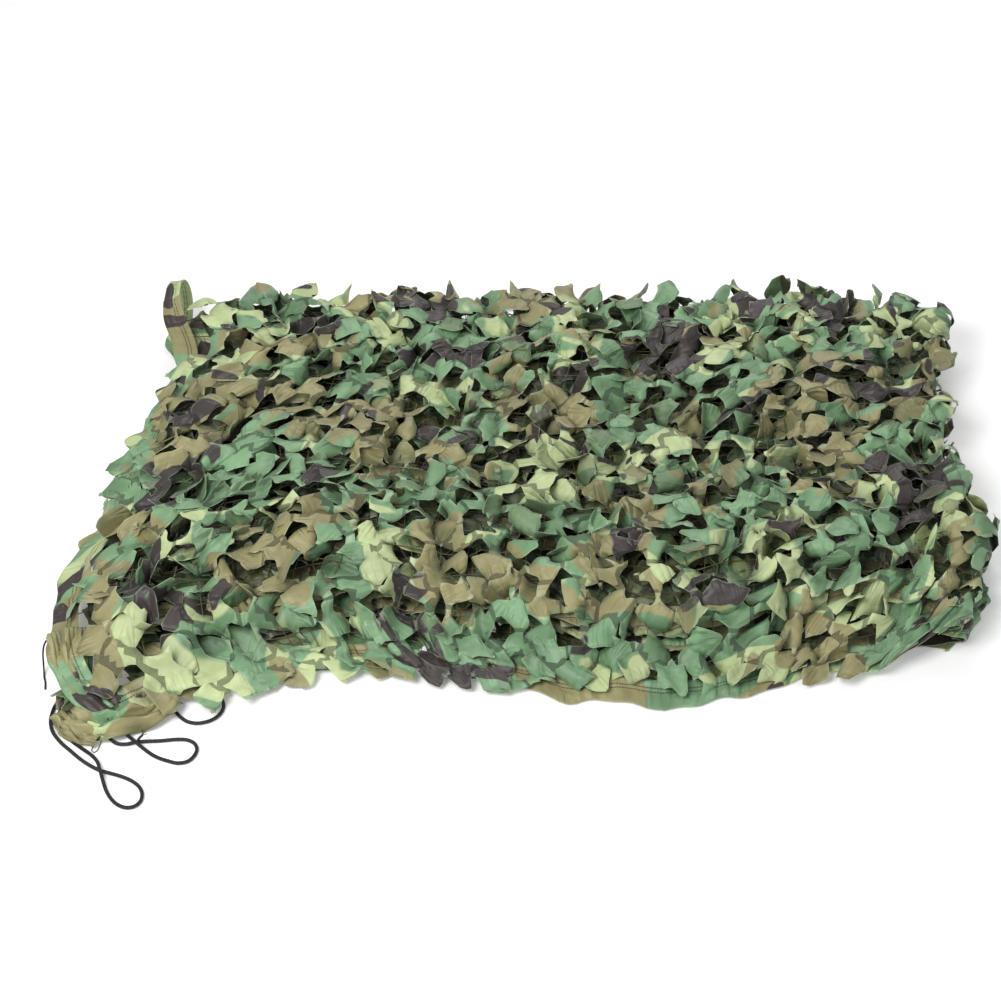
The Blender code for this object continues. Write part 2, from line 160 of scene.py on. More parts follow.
# At the far corner the outer short strip stands up in a tab: its place along the strip, and its rise
TAB_PLACE, TAB_RISE = 1.035, 0.050
STRING_STEP, STRING_HEIGHT, STRING_FULLNESS = 0.025, -0.0100, 1.41
STRING_DRIFT, STRING_WAVE = 0.009, 0.0035  # how far the strings wander on the sheet, and over it

# ------------------------------------------------------------------ the gathered corner
CORNER_PIECES = ("gathered_corner_1", "gathered_corner_2", "gathered_corner_3", "cord_mouth")
GATHERS = (
    # route, width, crown, phase
    (((-0.752, -0.338, 0.050), (-0.740, -0.385, 0.038), (-0.722, -0.425, 0.026), (-0.694, -0.452, 0.022),
      (-0.655, -0.466, 0.020)), 0.060, 0.014, 0.4),
    (((-0.722, -0.474, 0.008), (-0.690, -0.494, 0.010), (-0.655, -0.497, 0.011), (-0.618, -0.478, 0.012),
      (-0.590, -0.452, 0.013)), 0.066, 0.014, 2.1),
    (((-0.752, -0.472, 0.002), (-0.732, -0.495, 0.003), (-0.706, -0.514, 0.004), (-0.678, -0.526, 0.005)),
     0.042, 0.010, 3.3),
)
THREAD_ROUTE = (
    (-0.676, -0.513, 0.013), (-0.683, -0.527, 0.006), (-0.689, -0.539, 0.0016), (-0.6895, -0.546, 0.0012),
    (-0.6855, -0.5495, 0.0012), (-0.681, -0.5455, 0.0012), (-0.6785, -0.535, 0.0018),
    (-0.675, -0.524, 0.006), (-0.6715, -0.515, 0.013),
)

# ------------------------------------------------------------------ the leaf cloth
CELL_QUADS, CELLS_LONG, CELLS_WIDE = 8, 55, 36
STARS_WIDE = CELLS_WIDE + 1  # a star of cloth lies round each corner between four leaves
STARS = (CELLS_LONG + 1) * STARS_WIDE
SEED = 20
LEAF_STANDOFF = 0.0022
# The shares of top leaves that are missing, of necks that are cut and of the edge's stars that are kept
MISSING_LEAVES, CUT_NECKS, EDGE_STARS = 0.13, 0.28, 0.22
# How wide a leaf's tip and a cut neck's points spread, as angles, and how far leaves reach in half cells
TIP_SPREAD, NECK_SPREAD, CELL_REACH = 0.62, 0.20, 1.02
# How strongly each round pulls cloth back to the strings and its limits, and what may stand past those
TIE_PULL, LIMIT_PULL, LIMIT_SLACK, LIMIT_BEND = 0.30, 0.7, 0.003, 0.010

# How far the crumpled cloth may stand over its sheet, outwards: lowest and highest, in the outer low,
# inner low, inner high and outer high layer
LAYER_HEIGHTS = ((-0.020, 0.0040), (-0.015, 0.015), (-0.016, 0.018), (-0.022, 0.028))
HIGHEST = 0.1295
FARTHEST = 0.572
FOLD_LIFT = 0.020

# How far inside the net's own edge the leaf cloth ends, and the stretches of the upper edges that it
# leaves bare: from, to, along the net, and the inset there
FRONT_LOW_INSET, FRONT_INNER_INSET, LEFT_LOW_INSET, LEFT_INNER_INSET = -0.010, -0.004, 0.014, 0.020
FRONT_INSET, LEFT_INSET = -0.034, -0.007
FRONT_BARE = ((-0.20, 0.10, 0.040), (0.67, 1.20, 0.026), (1.33, 1.70, -0.006))
LEFT_BARE = ((0.80, 1.20, 0.062), (1.645, 2.20, 0.046))

# ------------------------------------------------------------------ the print
BLOTCH_LAYERS = (  # colour, its noise's offset, scale, detail and distortion, where it starts and is full, and how full
    # deep_green lays soft darker green patches at random places, three quarters strong
    ("deep_green", (8.2, 4.4, 0.0), 9.0, 2.0, 0.6, 0.53, 0.60, 0.75),
    ("light_green", (3.1, 7.7, 0.0), 5.8, 1.4, 0.8, 0.538, 0.558, 1.0),
    ("khaki", (11.3, 1.9, 0.0), 4.3, 1.8, 0.9, 0.551, 0.561, 1.0),
    ("dark_brown", (5.9, 17.3, 0.0), 5.2, 1.9, 1.2, 0.588, 0.597, 1.0),
)
# Painted shade: the dark green that cloth under the top layer and low in the pile is tinted towards
PAINTED_PILE_SHADE = (0.20, 0.26, 0.15, 1.0)
THREAD_COLOUR = (0.17, 0.14, 0.10)

# ------------------------------------------------------------------ the stage
FLOOR_HEIGHT = -0.0004
CAMERA_PLACE, CAMERA_AIM, LENS = (-0.05, -2.754, 2.516), (-0.05, 0.04, 0.0), 76.4
SURROUND_STRENGTH = 0.30
LIGHTS = (  # name, place, size, power
    ("key_light", (-1.5, -1.6, 2.7), 1.6, 92.0), ("fill_light", (2.4, -1.8, 2.0), 2.4, 22.0),
    ("back_light", (0.3, 2.4, 2.4), 1.8, 40.0),
)


def smooth_curve(stations, values, at):
    """A cubic curve through the values: each span starts and ends on its neighbours' mean slope."""
    stations = np.asarray(stations, float)
    values = np.asarray(values, float)
    slopes = np.gradient(values, stations, axis=0)
    span = np.clip(np.searchsorted(stations, at, side="right") - 1, 0, len(stations) - 2)
    width = stations[span + 1] - stations[span]
    share = (at - stations[span]) / width
    extra = (...,) + (None,) * (values.ndim - 1)
    share, width = share[extra], width[extra]
    start = (1 + 2 * share) * (1 - share) ** 2 * values[span]
    end = share ** 2 * (3 - 2 * share) * values[span + 1]
    leaving = share * (1 - share) ** 2 * width * slopes[span]
    arriving = share ** 2 * (share - 1) * width * slopes[span + 1]
    return start + end + leaving + arriving


def table_columns(table, at):
    """Every column of a table, read smoothly at the given shares of the way along it."""
    rows = np.array(table)
    return smooth_curve(rows[:, 0], rows[:, 1:], at)


def leg_and_turn(along, full_length, radius):
    """The share of a folded sheet's leg behind a point, and the angle turned round its fold."""
    leg = full_length / 2 - math.pi * radius / 2
    turn = np.clip((along - leg) / radius, 0.0, math.pi)
    from_edge = np.minimum(along, full_length - along)
    return np.minimum(from_edge / leg, 1.0), turn


def height_share(x, y):
    """How full the pile is at a place: one, with lumps and ripples, less near the open edges.

    At the front edge the top sheet comes down to the floor, and the lower sheets end behind it.
    """
    share = np.ones_like(x)
    for wavelength, heading, change in RIPPLES:
        ahead = x * math.cos(math.radians(heading)) + y * math.sin(math.radians(heading))
        share += change * np.sin(2 * math.pi * ahead / wavelength)
    for lump_x, lump_y, reach, change in HEIGHT_CHANGES:
        share += change * np.exp(-((x - lump_x) ** 2 + (y - lump_y) ** 2) / (reach * reach))
    front, front_sink = np.moveaxis(table_columns(FRONT_LINE, np.clip(x, -0.80, 0.80)), -1, 0)
    left = table_columns(LEFT_LINE, np.clip(y, -0.68, 0.56))[..., 0]
    front_drop = front_sink * np.exp(-(np.maximum(y - front, 0) / FRONT_REACH) ** 2)
    side_drop = SIDE_SINK * np.exp(-(np.maximum(x - left, 0) / SIDE_REACH) ** 2)
    return share * (1 - front_drop) * (1 - side_drop)


def fold_weights(across, along):
    """How far each point is round the right fold, to the inner sheet, and round the far one, to the top."""
    _, right_turn = leg_and_turn(across, NET_LENGTH, RIGHT_FOLD_RADIUS)
    _, far_turn = leg_and_turn(along, NET_WIDTH, FAR_FOLD_RADIUS)
    return (1 - np.cos(right_turn)) / 2, (1 - np.cos(far_turn)) / 2


def layer_value(outer_low, inner_low, inner_high, outer_high, inner, upper):
    """A value of the four layers, passed smoothly from one to the next round the folds."""
    low = outer_low * (1 - inner) + inner_low * inner
    high = outer_high * (1 - inner) + inner_high * inner
    return low * (1 - upper) + high * upper


def sheet_middle(across, along):
    """The middle of the folded sheet at a place on the flat net.

    Across runs over the net's length and is folded at the right. Along runs over its width and
    is folded at the far side, so it carries the first fold round with it.
    """
    width_share, right_turn = leg_and_turn(across, NET_LENGTH, RIGHT_FOLD_RADIUS)
    depth_share, far_turn = leg_and_turn(along, NET_WIDTH, FAR_FOLD_RADIUS)
    inner, upper = fold_weights(across, along)
    left = layer_value(*np.moveaxis(table_columns(LEFT_EDGE, depth_share), -1, 0), inner, upper)
    front = layer_value(*np.moveaxis(table_columns(FRONT_EDGE, width_share), -1, 0), inner, upper)
    right_pair = table_columns(RIGHT_FOLD, depth_share)
    right = right_pair[..., 0] * (1 - upper) + right_pair[..., 1] * upper
    right_centre = right - RIGHT_FOLD_RADIUS
    far_centre = table_columns(FAR_FOLD, width_share)[..., 0] - FAR_FOLD_RADIUS
    inset = RIGHT_FOLD_RADIUS * (1 - np.cos(right_turn))
    far_radius = FAR_FOLD_RADIUS - inset
    x = left + (right_centre - left) * width_share + RIGHT_FOLD_RADIUS * np.sin(right_turn)
    y = front + (far_centre - front) * depth_share + far_radius * np.sin(far_turn)
    z = LOWEST_MIDDLE + (FAR_FOLD_RADIUS - far_radius * np.cos(far_turn)) * height_share(x, y)
    return np.stack([x, y, z], axis=-1)


def on_sheet(across, along, height):
    """Points at a height over the folded sheet, measured along its outward normal."""
    step = 2e-4
    by_across = sheet_middle(across + step, along) - sheet_middle(across - step, along)
    by_along = sheet_middle(across, along + step) - sheet_middle(across, along - step)
    inward = np.cross(by_across, by_along)
    inward /= np.linalg.norm(inward, axis=-1, keepdims=True)
    return sheet_middle(across, along) - inward * np.asarray(height)[..., None]


# ------------------------------------------------------------------ meshes and materials
def mesh_piece(name, points, faces, materials, smooth=True):
    """A mesh object at the origin from arrays of points and equal-sided faces."""
    faces = np.asarray(faces, np.int32)
    mesh = bpy.data.meshes.new(name)
    mesh.vertices.add(len(points))
    mesh.vertices.foreach_set("co", np.asarray(points, np.float32).ravel())
    mesh.loops.add(faces.size)
    mesh.loops.foreach_set("vertex_index", faces.ravel())
    mesh.polygons.add(len(faces))
    mesh.polygons.foreach_set("loop_start", np.arange(0, faces.size, faces.shape[1], dtype=np.int32))
    mesh.polygons.foreach_set("use_smooth", np.full(len(faces), smooth))
    for material in materials:
        mesh.materials.append(material)
    mesh.update(calc_edges=True)
    mesh.validate()
    piece = bpy.data.objects.new(name, mesh)
    bpy.context.collection.objects.link(piece)
    return piece


def store(piece, **fields):
    """Stores values for each vertex under their names: one number, or a pair as a UV map."""
    mesh = piece.data
    corners = np.empty(len(mesh.loops), np.int32)
    mesh.loops.foreach_get("vertex_index", corners)
    for name, values in fields.items():
        values = np.asarray(values, np.float32)
        if values.ndim == 2:
            mesh.uv_layers.new(name=name).data.foreach_set("uv", values[corners].ravel())
        else:
            mesh.attributes.new(name, "FLOAT", "POINT").data.foreach_set("value", values)


def thicken(piece, thickness, back=0, rim=1):
    """Gives a cloth its thickness, with the materials of its back and rim."""
    shell = piece.modifiers.new("thickness", "SOLIDIFY")
    shell.thickness = thickness
    shell.offset = 0.0
    shell.material_offset = back
    shell.material_offset_rim = rim


class NodeSheet:
    """Short ways to add and join a material's nodes."""

    def __init__(self, name, **constants):
        self.material = bpy.data.materials.new(name)
        self.material.use_nodes = True
        self.tree = self.material.node_tree
        self.shader = self.tree.nodes["Principled BSDF"].inputs
        for socket, value in constants.items():
            self.shader[socket.replace("_", " ")].default_value = value

    def node(self, kind, inputs=(), **settings):
        made = self.tree.nodes.new(kind)
        for key, value in settings.items():
            setattr(made, key, value)
        for key, value in dict(inputs).items():
            self.put(made.inputs[key], value)
        return made

    def put(self, socket, value):
        if isinstance(value, bpy.types.NodeSocket):
            self.tree.links.new(value, socket)
        else:
            socket.default_value = value

    def uv(self, name):
        return self.node("ShaderNodeUVMap", uv_map=name).outputs["UV"]

    def attribute(self, name):
        return self.node("ShaderNodeAttribute", attribute_name=name).outputs["Fac"]

    def math(self, operation, first, second=0.0):
        return self.node("ShaderNodeMath", {0: first, 1: second}, operation=operation).outputs[0]

    def vector(self, operation, first, second):
        return self.node("ShaderNodeVectorMath", {0: first, 1: second}, operation=operation).outputs[0]

    def noise(self, vector, scale, detail=2.0, roughness=0.5, distortion=0.0):
        return self.node("ShaderNodeTexNoise", {
            "Vector": vector, "Scale": scale, "Detail": detail,
            "Roughness": roughness, "Distortion": distortion}).outputs["Fac"]

    def wave(self, vector, scale, direction):
        return self.node("ShaderNodeTexWave", {"Vector": vector, "Scale": scale},
                         bands_direction=direction).outputs["Fac"]

    def span(self, value, low, high):
        """A value from nought to one, spread from low to high."""
        ends = {"Value": value, "To Min": low, "To Max": high}
        return self.node("ShaderNodeMapRange", ends).outputs["Result"]

    def step(self, value, low, high):
        """Nought below low and one above high, with a soft rise between."""
        return self.node("ShaderNodeMapRange", {"Value": value, "From Min": low, "From Max": high},
                         interpolation_type="SMOOTHSTEP").outputs["Result"]

    def mix(self, share, first, second, blend="MIX"):
        made = self.node("ShaderNodeMix", {0: share, 6: first, 7: second}, data_type="RGBA", blend_type=blend)
        return made.outputs[2]

    def bump(self, height, distance, strength=1.0, normal=None):
        made = self.node("ShaderNodeBump", {"Height": height, "Distance": distance, "Strength": strength})
        if normal is not None:
            self.put(made.inputs["Normal"], normal)
        return made.outputs["Normal"]


def linear(colour):
    """A colour given in everyday screen values, as light."""
    low = [c / 12.92 if c <= 0.04045 else ((c + 0.055) / 1.055) ** 2.4 for c in colour[:3]]
    return (*low, 1.0)


def woodland_print(sheet, places, colours, more_khaki=0.0):
    """Woodland blotches and soft darker green patches: islands of each colour where its own wide noise runs
    high, one over the other.
    """
    ink = linear(colours.mid_green)
    for name, offset, scale, detail, distortion, low, high, most in BLOTCH_LAYERS:
        more = more_khaki if name == "khaki" else 0.0
        field = sheet.noise(sheet.vector("ADD", places, offset), scale, detail, 0.5, distortion)
        share = sheet.math("MULTIPLY", sheet.step(field, low - more, high - more), most)
        ink = sheet.mix(share, ink, linear(getattr(colours, name)))
    return ink


def stitch_lines(sheet):
    """One on the stitches: two dashed lines at set distances from the strip's outer edge."""
    across, along = sheet.attribute("strip_across"), sheet.attribute("strip_along")
    lines = [sheet.step(sheet.math("ABSOLUTE", sheet.math("SUBTRACT", across, place)), 0.0011, 0.0005)
             for place in SEAMS]
    dashes = sheet.step(sheet.math("SINE", sheet.math("MULTIPLY", along, 2 * math.pi / STITCH)), -0.8, -0.4)
    return sheet.math("MULTIPLY", sheet.math("MAXIMUM", *lines), dashes)


def cloth_material(name, colours, side, more_khaki=0.0, stitched=False):
    """Printed polyester: woven bump, crisp creases, a faint satin gloss and slightly paler cut edges.

    The side is face, back or rim. The back is duller, because the ink is on the face. Creases are the
    valleys of stretched noise, |2n - 1|, along each patch's own heading. Stitches are two dashed lines.
    """
    sheet = NodeSheet(name, Sheen_Weight=0.10, Specular_IOR_Level=0.5)
    places = sheet.uv("flat_cloth")
    ink = woodland_print(sheet, places, colours, more_khaki)
    if side == "back":
        ink = sheet.mix(0.45, ink, linear(colours.back))
    shade = sheet.span(sheet.step(sheet.noise(places, 11.0, 4.0, 0.6), 0.3, 0.7), 0.76, 1.14)
    ink = sheet.mix(1.0, ink, shade, "MULTIPLY")
    if side != "rim" and not stitched:
        # Painted shade: the pile_shade field darkens the layers under the top one and the cloth low in each
        lit = sheet.mix(sheet.attribute("pile_shade"), PAINTED_PILE_SHADE, (1.0, 1.0, 1.0, 1.0))
        ink = sheet.mix(1.0, ink, lit, "MULTIPLY")
    # Pale cut edges and rims: partly the bare yarn's own paler colour, partly a painted highlight where the
    # edges catch light
    pale = 0.35
    if side != "rim":
        pale = sheet.math("MULTIPLY", sheet.step(sheet.attribute("cut_distance"), 0.0014, 0.0004), 0.22)
    colour = sheet.mix(pale, ink, linear(colours.cut_edge))
    pleats = sheet.uv("pleats")
    heights = []
    for stretch_to, scale, share in (((1.0, 0.16, 1.0), 62.0, 1.0), ((0.35, 1.0, 1.0), 34.0, 0.6)):
        field = sheet.noise(sheet.vector("MULTIPLY", pleats, stretch_to), scale, 1.0, 0.4, 0.5)
        ridged = sheet.math("ABSOLUTE", sheet.math("ADD", sheet.math("MULTIPLY", field, 2.0), -1.0))
        heights.append(sheet.math("MULTIPLY", ridged, share))
    worn = sheet.step(sheet.noise(pleats, 17.0, 1.0), 0.42, 0.62)
    creases = sheet.math("MULTIPLY", sheet.math("ADD", *heights), sheet.math("ADD", worn, 0.22))
    rough = sheet.bump(creases, 0.0060, 0.85)
    if stitched:
        dip = stitch_lines(sheet)
        colour = sheet.mix(sheet.math("MULTIPLY", dip, 0.72), colour, linear(THREAD_COLOUR))
        rough = sheet.bump(dip, -0.0012, 1.0, rough)
    sheet.put(sheet.shader["Base Color"], colour)
    sheet.put(sheet.shader["Roughness"], sheet.span(sheet.noise(places, 160.0, 3.0, 0.6), 0.38, 0.54))
    sheet.put(sheet.shader["Normal"], sheet.bump(sheet.wave(places, 260.0, "X"), 0.0002, 0.35, rough))
    return sheet.material


def cord_material(name, colour):
    """Braided black cord: slanting plaits round it, a dull bloom and fine fuzz."""
    sheet = NodeSheet(name, Roughness=0.55, Sheen_Weight=0.04)
    places = sheet.uv("round_cord")
    dust = sheet.step(sheet.noise(places, 60.0, 3.0, 0.6), 0.35, 0.75)
    dusty = tuple(min(1.0, c * 1.7 + 0.002) for c in linear(colour)[:3]) + (1.0,)
    sheet.put(sheet.shader["Base Color"], sheet.mix(dust, linear(colour), dusty))
    fuzz = sheet.math("MULTIPLY", sheet.noise(places, 700.0, 3.0, 0.6), 0.5)
    height = sheet.math("ADD", sheet.wave(places, 90.0, "DIAGONAL"), fuzz)
    sheet.put(sheet.shader["Normal"], sheet.bump(height, 0.0006, 0.8))
    return sheet.material


def string_material(name, colour):
    """Twisted string: fine strands and a little colour change along it."""
    sheet = NodeSheet(name, Roughness=0.75)
    places = sheet.node("ShaderNodeTexCoord").outputs["Object"]
    darker = tuple(c * 0.55 for c in linear(colour)[:3]) + (1.0,)
    sheet.put(sheet.shader["Base Color"],
              sheet.mix(sheet.noise(places, 25.0, 3.0, 0.6), darker, linear(colour)))
    sheet.put(sheet.shader["Normal"], sheet.bump(sheet.noise(places, 900.0, 2.0), 0.0004, 0.6))
    return sheet.material


# ------------------------------------------------------------------ slit cloth on a grid
def leaf_cells(rng):
    """The choices made for each leaf: its place, size, outline, hinge and how it turns on that hinge.

    A few leaves are round and some square, and most have a tip. In the top sheet some are missing and
    many turn far up or down. Elsewhere they lie flatter, to cover what is below, but for some round the
    far fold. Along the cloth's own edge every leaf hinges on its inner side and lies outwards.
    """
    shape = (CELLS_LONG, CELLS_WIDE)
    half_long, half_wide = CELLS_LONG // 2, CELLS_WIDE // 2

    def draw(low, high):
        return rng.uniform(low, high, shape)

    kind = rng.random(shape)
    round_one, square = kind < 0.12, kind > 0.74
    cells = {
        "x": np.arange(CELLS_LONG)[:, None] + 0.5 + draw(-0.06, 0.06),
        "y": np.arange(CELLS_WIDE)[None, :] + 0.5 + draw(-0.06, 0.06),
        "power": np.where(round_one, draw(1.25, 1.8), draw(0.80, 1.10)),
        "size": np.where(round_one, draw(0.76, 0.88), np.where(square, draw(0.96, 1.12), draw(0.88, 1.02))),
        "turn": np.where(round_one, draw(0, math.pi),
                         np.where(square, math.pi / 4, 0.0) + rng.normal(0.0, 0.20, shape)),
        "oval": draw(0.0, 0.18),
        "tip": np.where(rng.random(shape) < 0.65, draw(0.18, 0.42), 0.0),
        "hinge": rng.integers(0, 4, shape),
        "hinge_drift": draw(-0.3, 0.3),
        "hinge_half": draw(0.34, 0.72),
        "missing": rng.random(shape) < MISSING_LEAVES,
    }
    way = rng.random(shape)
    lift = np.where(way < 0.27, draw(0.3, 1.3), np.where(way < 0.37, draw(1.6, 2.7), -draw(0.4, 1.8)))
    below, at_fold = np.ones(shape, bool), np.zeros(shape, bool)
    below[:half_long, half_wide + 3:] = False
    at_fold[:, half_wide:half_wide + 3] = True
    cells["missing"] &= ~below
    covering = np.where(at_fold & (rng.random(shape) < 0.35), draw(0.7, 1.5), draw(-0.8, 0.7))
    cells["lift"] = np.where(below, covering, lift)
    side = rng.integers(0, 2, shape)
    for edge, corners in (((0, slice(None)), (0, 3)), ((-1, slice(None)), (1, 2)),
                          ((slice(None), 0), (0, 1)), ((slice(None), -1), (3, 2))):
        cells["hinge"][edge] = np.where(side[edge] == 0, *corners)
        cells["lift"][edge] = rng.uniform(-0.35, 0.55, side[edge].shape)
        cells["missing"][edge] = False
        cells["tip"][edge] = 0.08
    for i, j, corner in ((0, 0, 0), (-1, 0, 1), (-1, -1, 2), (0, -1, 3)):
        cells["hinge"][i, j] = corner
    return cells


def hinge_angles(cells):
    """The heading of each leaf's hinge from its middle."""
    return (cells["hinge"] + 0.5) * math.pi / 2 + cells["hinge_drift"]


def apart(first, second):
    """The angle from the second heading to the first, between -pi and pi."""
    return np.angle(np.exp(1j * (first - second)))


def cut_necks(rng):
    """Which of each leaf's four necks, at its right, far, left and near side, is cut through.

    A neck lies between two neighbouring leaves, so both have the same answer. None is cut at the border.
    """
    necks = np.zeros((4, CELLS_LONG, CELLS_WIDE), bool)
    necks[0, :-1] = necks[2, 1:] = rng.random((CELLS_LONG - 1, CELLS_WIDE)) < CUT_NECKS
    necks[1, :, :-1] = necks[3, :, 1:] = rng.random((CELLS_LONG, CELLS_WIDE - 1)) < CUT_NECKS
    return necks


def outline(cells, necks, ci, cj, angle):
    """The leaf's outline as a reach at each angle, in half cells.

    It is the curve |cos|^n + |sin|^n = 1, from a round for n = 2 to a square on its corner for n = 1,
    a little oval. It runs out to a tip away from its hinge, and to the cell's side at each cut neck.
    """
    turned_by = angle - cells["turn"][ci, cj]
    power = cells["power"][ci, cj]
    round_part = (np.abs(np.cos(turned_by)) ** power + np.abs(np.sin(turned_by)) ** power) ** (-1 / power)
    reach = cells["size"][ci, cj] * round_part * (1 + cells["oval"][ci, cj] * np.cos(2 * turned_by + power))
    from_tip = apart(angle, hinge_angles(cells)[ci, cj] + math.pi)
    reach = reach + cells["tip"][ci, cj] * np.clip(1 - np.abs(from_tip) / TIP_SPREAD, 0, 1)
    for side in range(4):
        away = apart(angle, side * math.pi / 2)
        held = np.minimum(reach, 0.80 + 1.6 * away ** 2)
        pointed = reach + (CELL_REACH - reach) * np.exp(-(away / NECK_SPREAD) ** 2)
        reach = np.where(necks[side, ci, cj], np.maximum(reach, pointed), held)
    return np.minimum(reach, CELL_REACH / np.maximum(np.abs(np.cos(angle)), np.abs(np.sin(angle))))


def slit_grid(cells, necks):
    """Lays the leaves on an even grid of quads: each quad's leaf, the cut edges and the corner places.

    A quad belongs to a leaf if its middle lies inside the outline. Edges between a leaf and what is
    not that leaf are cut, but for those at its hinge. Corners on the outline are moved onto it, and
    the others are evened out between them.
    """
    wide, high = CELLS_LONG * CELL_QUADS, CELLS_WIDE * CELL_QUADS
    hinges = hinge_angles(cells)

    def polar(x, y, ci, cj):
        across, up = x - cells["x"][ci, cj], y - cells["y"][ci, cj]
        return np.hypot(across, up) * 2, np.arctan2(up, across)

    def is_cut(first, second, x, y):
        li, lj = np.divmod(np.maximum(first, second), CELLS_WIDE)
        off_hinge = np.abs(apart(polar(x, y, li, lj)[1], hinges[li, lj])) > cells["hinge_half"][li, lj]
        return (first != second) & (off_hinge | (np.minimum(first, second) >= 0))

    quad_i, quad_j = np.indices((wide, high))
    ci, cj = quad_i // CELL_QUADS, quad_j // CELL_QUADS
    reach, angle = polar((quad_i + 0.5) / CELL_QUADS, (quad_j + 0.5) / CELL_QUADS, ci, cj)
    leaf = np.where(reach < outline(cells, necks, ci, cj, angle), ci * CELLS_WIDE + cj, -1)
    x, y = np.indices((wide + 1, high + 1)) / CELL_QUADS
    half = 0.5 / CELL_QUADS
    cut_wide, cut_long = np.zeros((wide + 1, high), bool), np.zeros((wide, high + 1), bool)
    cut_wide[1:-1] = is_cut(leaf[:-1], leaf[1:], x[1:-1, :-1], y[1:-1, :-1] + half)
    cut_long[:, 1:-1] = is_cut(leaf[:, :-1], leaf[:, 1:], x[:-1, 1:-1] + half, y[:-1, 1:-1])

    around = np.stack([leaf[:-1, :-1], leaf[1:, :-1], leaf[1:, 1:], leaf[:-1, 1:]])
    highest, lowest = around.max(axis=0), around.min(axis=0)
    one_leaf = np.where(around >= 0, around, highest).min(axis=0) == highest
    edge = (highest >= 0) & (lowest < 0) & one_leaf
    li, lj = np.divmod(highest, CELLS_WIDE)
    middle = (slice(1, -1), slice(1, -1))
    reach, way = polar(x[middle], y[middle], li, lj)
    farthest = 1.5 / CELL_QUADS
    move = np.where(edge, np.clip(outline(cells, necks, li, lj, way) - reach, -farthest, farthest) / 2, 0)
    x[middle] += move * np.cos(way)
    y[middle] += move * np.sin(way)
    for _ in range(4):
        for grid in (x, y):
            mean = (grid[:-2, 1:-1] + grid[2:, 1:-1] + grid[1:-1, :-2] + grid[1:-1, 2:]) / 4
            grid[middle] = np.where(highest == lowest, mean, grid[middle])
    return leaf, cut_long, cut_wide, x, y


def split_corners(cut_long, cut_wide):
    """Gives each grid corner one vertex for each part of the cloth that the slits leave round it.

    Going round a corner from quad to quad, each cut edge starts a new part, and the last part is the
    first again unless the edge between them is cut. Returns each quad's four vertices as numbers from
    which the grid corner is the fourth part.
    """
    corners = (cut_wide.shape[0], cut_long.shape[1])
    below, above, left, right = np.ones((4, *corners), bool)
    below[:, 1:] = above[:, :-1] = cut_wide
    right[:-1] = left[1:] = cut_long
    south_west = np.zeros(corners, int)
    south_east = south_west + below
    north_east = south_east + right
    north_west = north_east + above
    last = north_west.copy()
    for label in (south_east, north_east, north_west):
        label[~left & (label == last)] = 0
    base = np.arange(left.size).reshape(corners) * 4
    return np.stack([(base + north_east)[:-1, :-1], (base + north_west)[1:, :-1],
                     (base + south_west)[1:, 1:], (base + south_east)[:-1, 1:]], axis=-1)


def soft_floor(values, low, soft):
    """The values, kept above a low limit, with a soft bend of a given size there."""
    return (values + low + np.sqrt((values - low) ** 2 + soft ** 2)) / 2


def turned(angle, axis_angle):
    """Rotation matrices by an angle about a level axis that heads at axis_angle."""
    c, s = np.cos(angle), np.sin(angle)
    ax, ay = np.cos(axis_angle), np.sin(axis_angle)
    rows = np.array([[c + ax * ax * (1 - c), ax * ay * (1 - c), ay * s],
                     [ax * ay * (1 - c), c + ay * ay * (1 - c), -ax * s],
                     [-ay * s, ax * s, c]])
    return np.ascontiguousarray(np.moveaxis(rows, (0, 1), (-2, -1)))


def carried(turns, vectors):
    """Each vector turned by its own matrix."""
    return np.einsum("nij,nj->ni", turns, vectors)


def creased(rng, flat, patch, patches):
    """Each patch's own stiff shape: flat cloth with two creases and a slight roll.

    Past a crease line, a point at distance s turns up by the crease's angle: it moves back by
    s (1 - cos) and rises by s sin. The roll adds half the curvature times the square of a distance.
    """
    shape = np.concatenate([flat, np.zeros((len(flat), 1))], axis=1)
    heading = rng.uniform(0, 2 * math.pi, patches)
    for spread, turn in ((0.78, 0.0), (0.62, math.pi), (0.46, 1.4)):
        heading = heading + turn + rng.normal(0.0, 0.6, patches)
        bend = rng.normal(0.0, spread, patches).clip(-1.3, 1.3)
        start = rng.uniform(-0.004, 0.016, patches)
        normal_x, normal_y = np.cos(heading)[patch], np.sin(heading)[patch]
        past = flat[:, 0] * normal_x + flat[:, 1] * normal_y - start[patch]
        past = soft_floor(past, 0.0, 0.0010)
        back = past * (1 - np.cos(bend))[patch]
        shape[:, 0] -= back * normal_x
        shape[:, 1] -= back * normal_y
        shape[:, 2] += past * np.sin(bend)[patch]
    for spread in (5.5, 3.0):
        roll = rng.normal(0.0, spread, patches)[patch]
        heading = rng.uniform(0, math.pi, patches)[patch]
        ahead = flat[:, 0] * np.cos(heading) + flat[:, 1] * np.sin(heading)
        shape[:, 2] += roll * ahead ** 2 / 2
    return shape


def patch_sums(values, patch, patches):
    """Sums the rows of each patch. The rows are in the patches' order."""
    starts = np.searchsorted(patch, np.arange(patches))
    return np.add.reduceat(values, starts, axis=0)


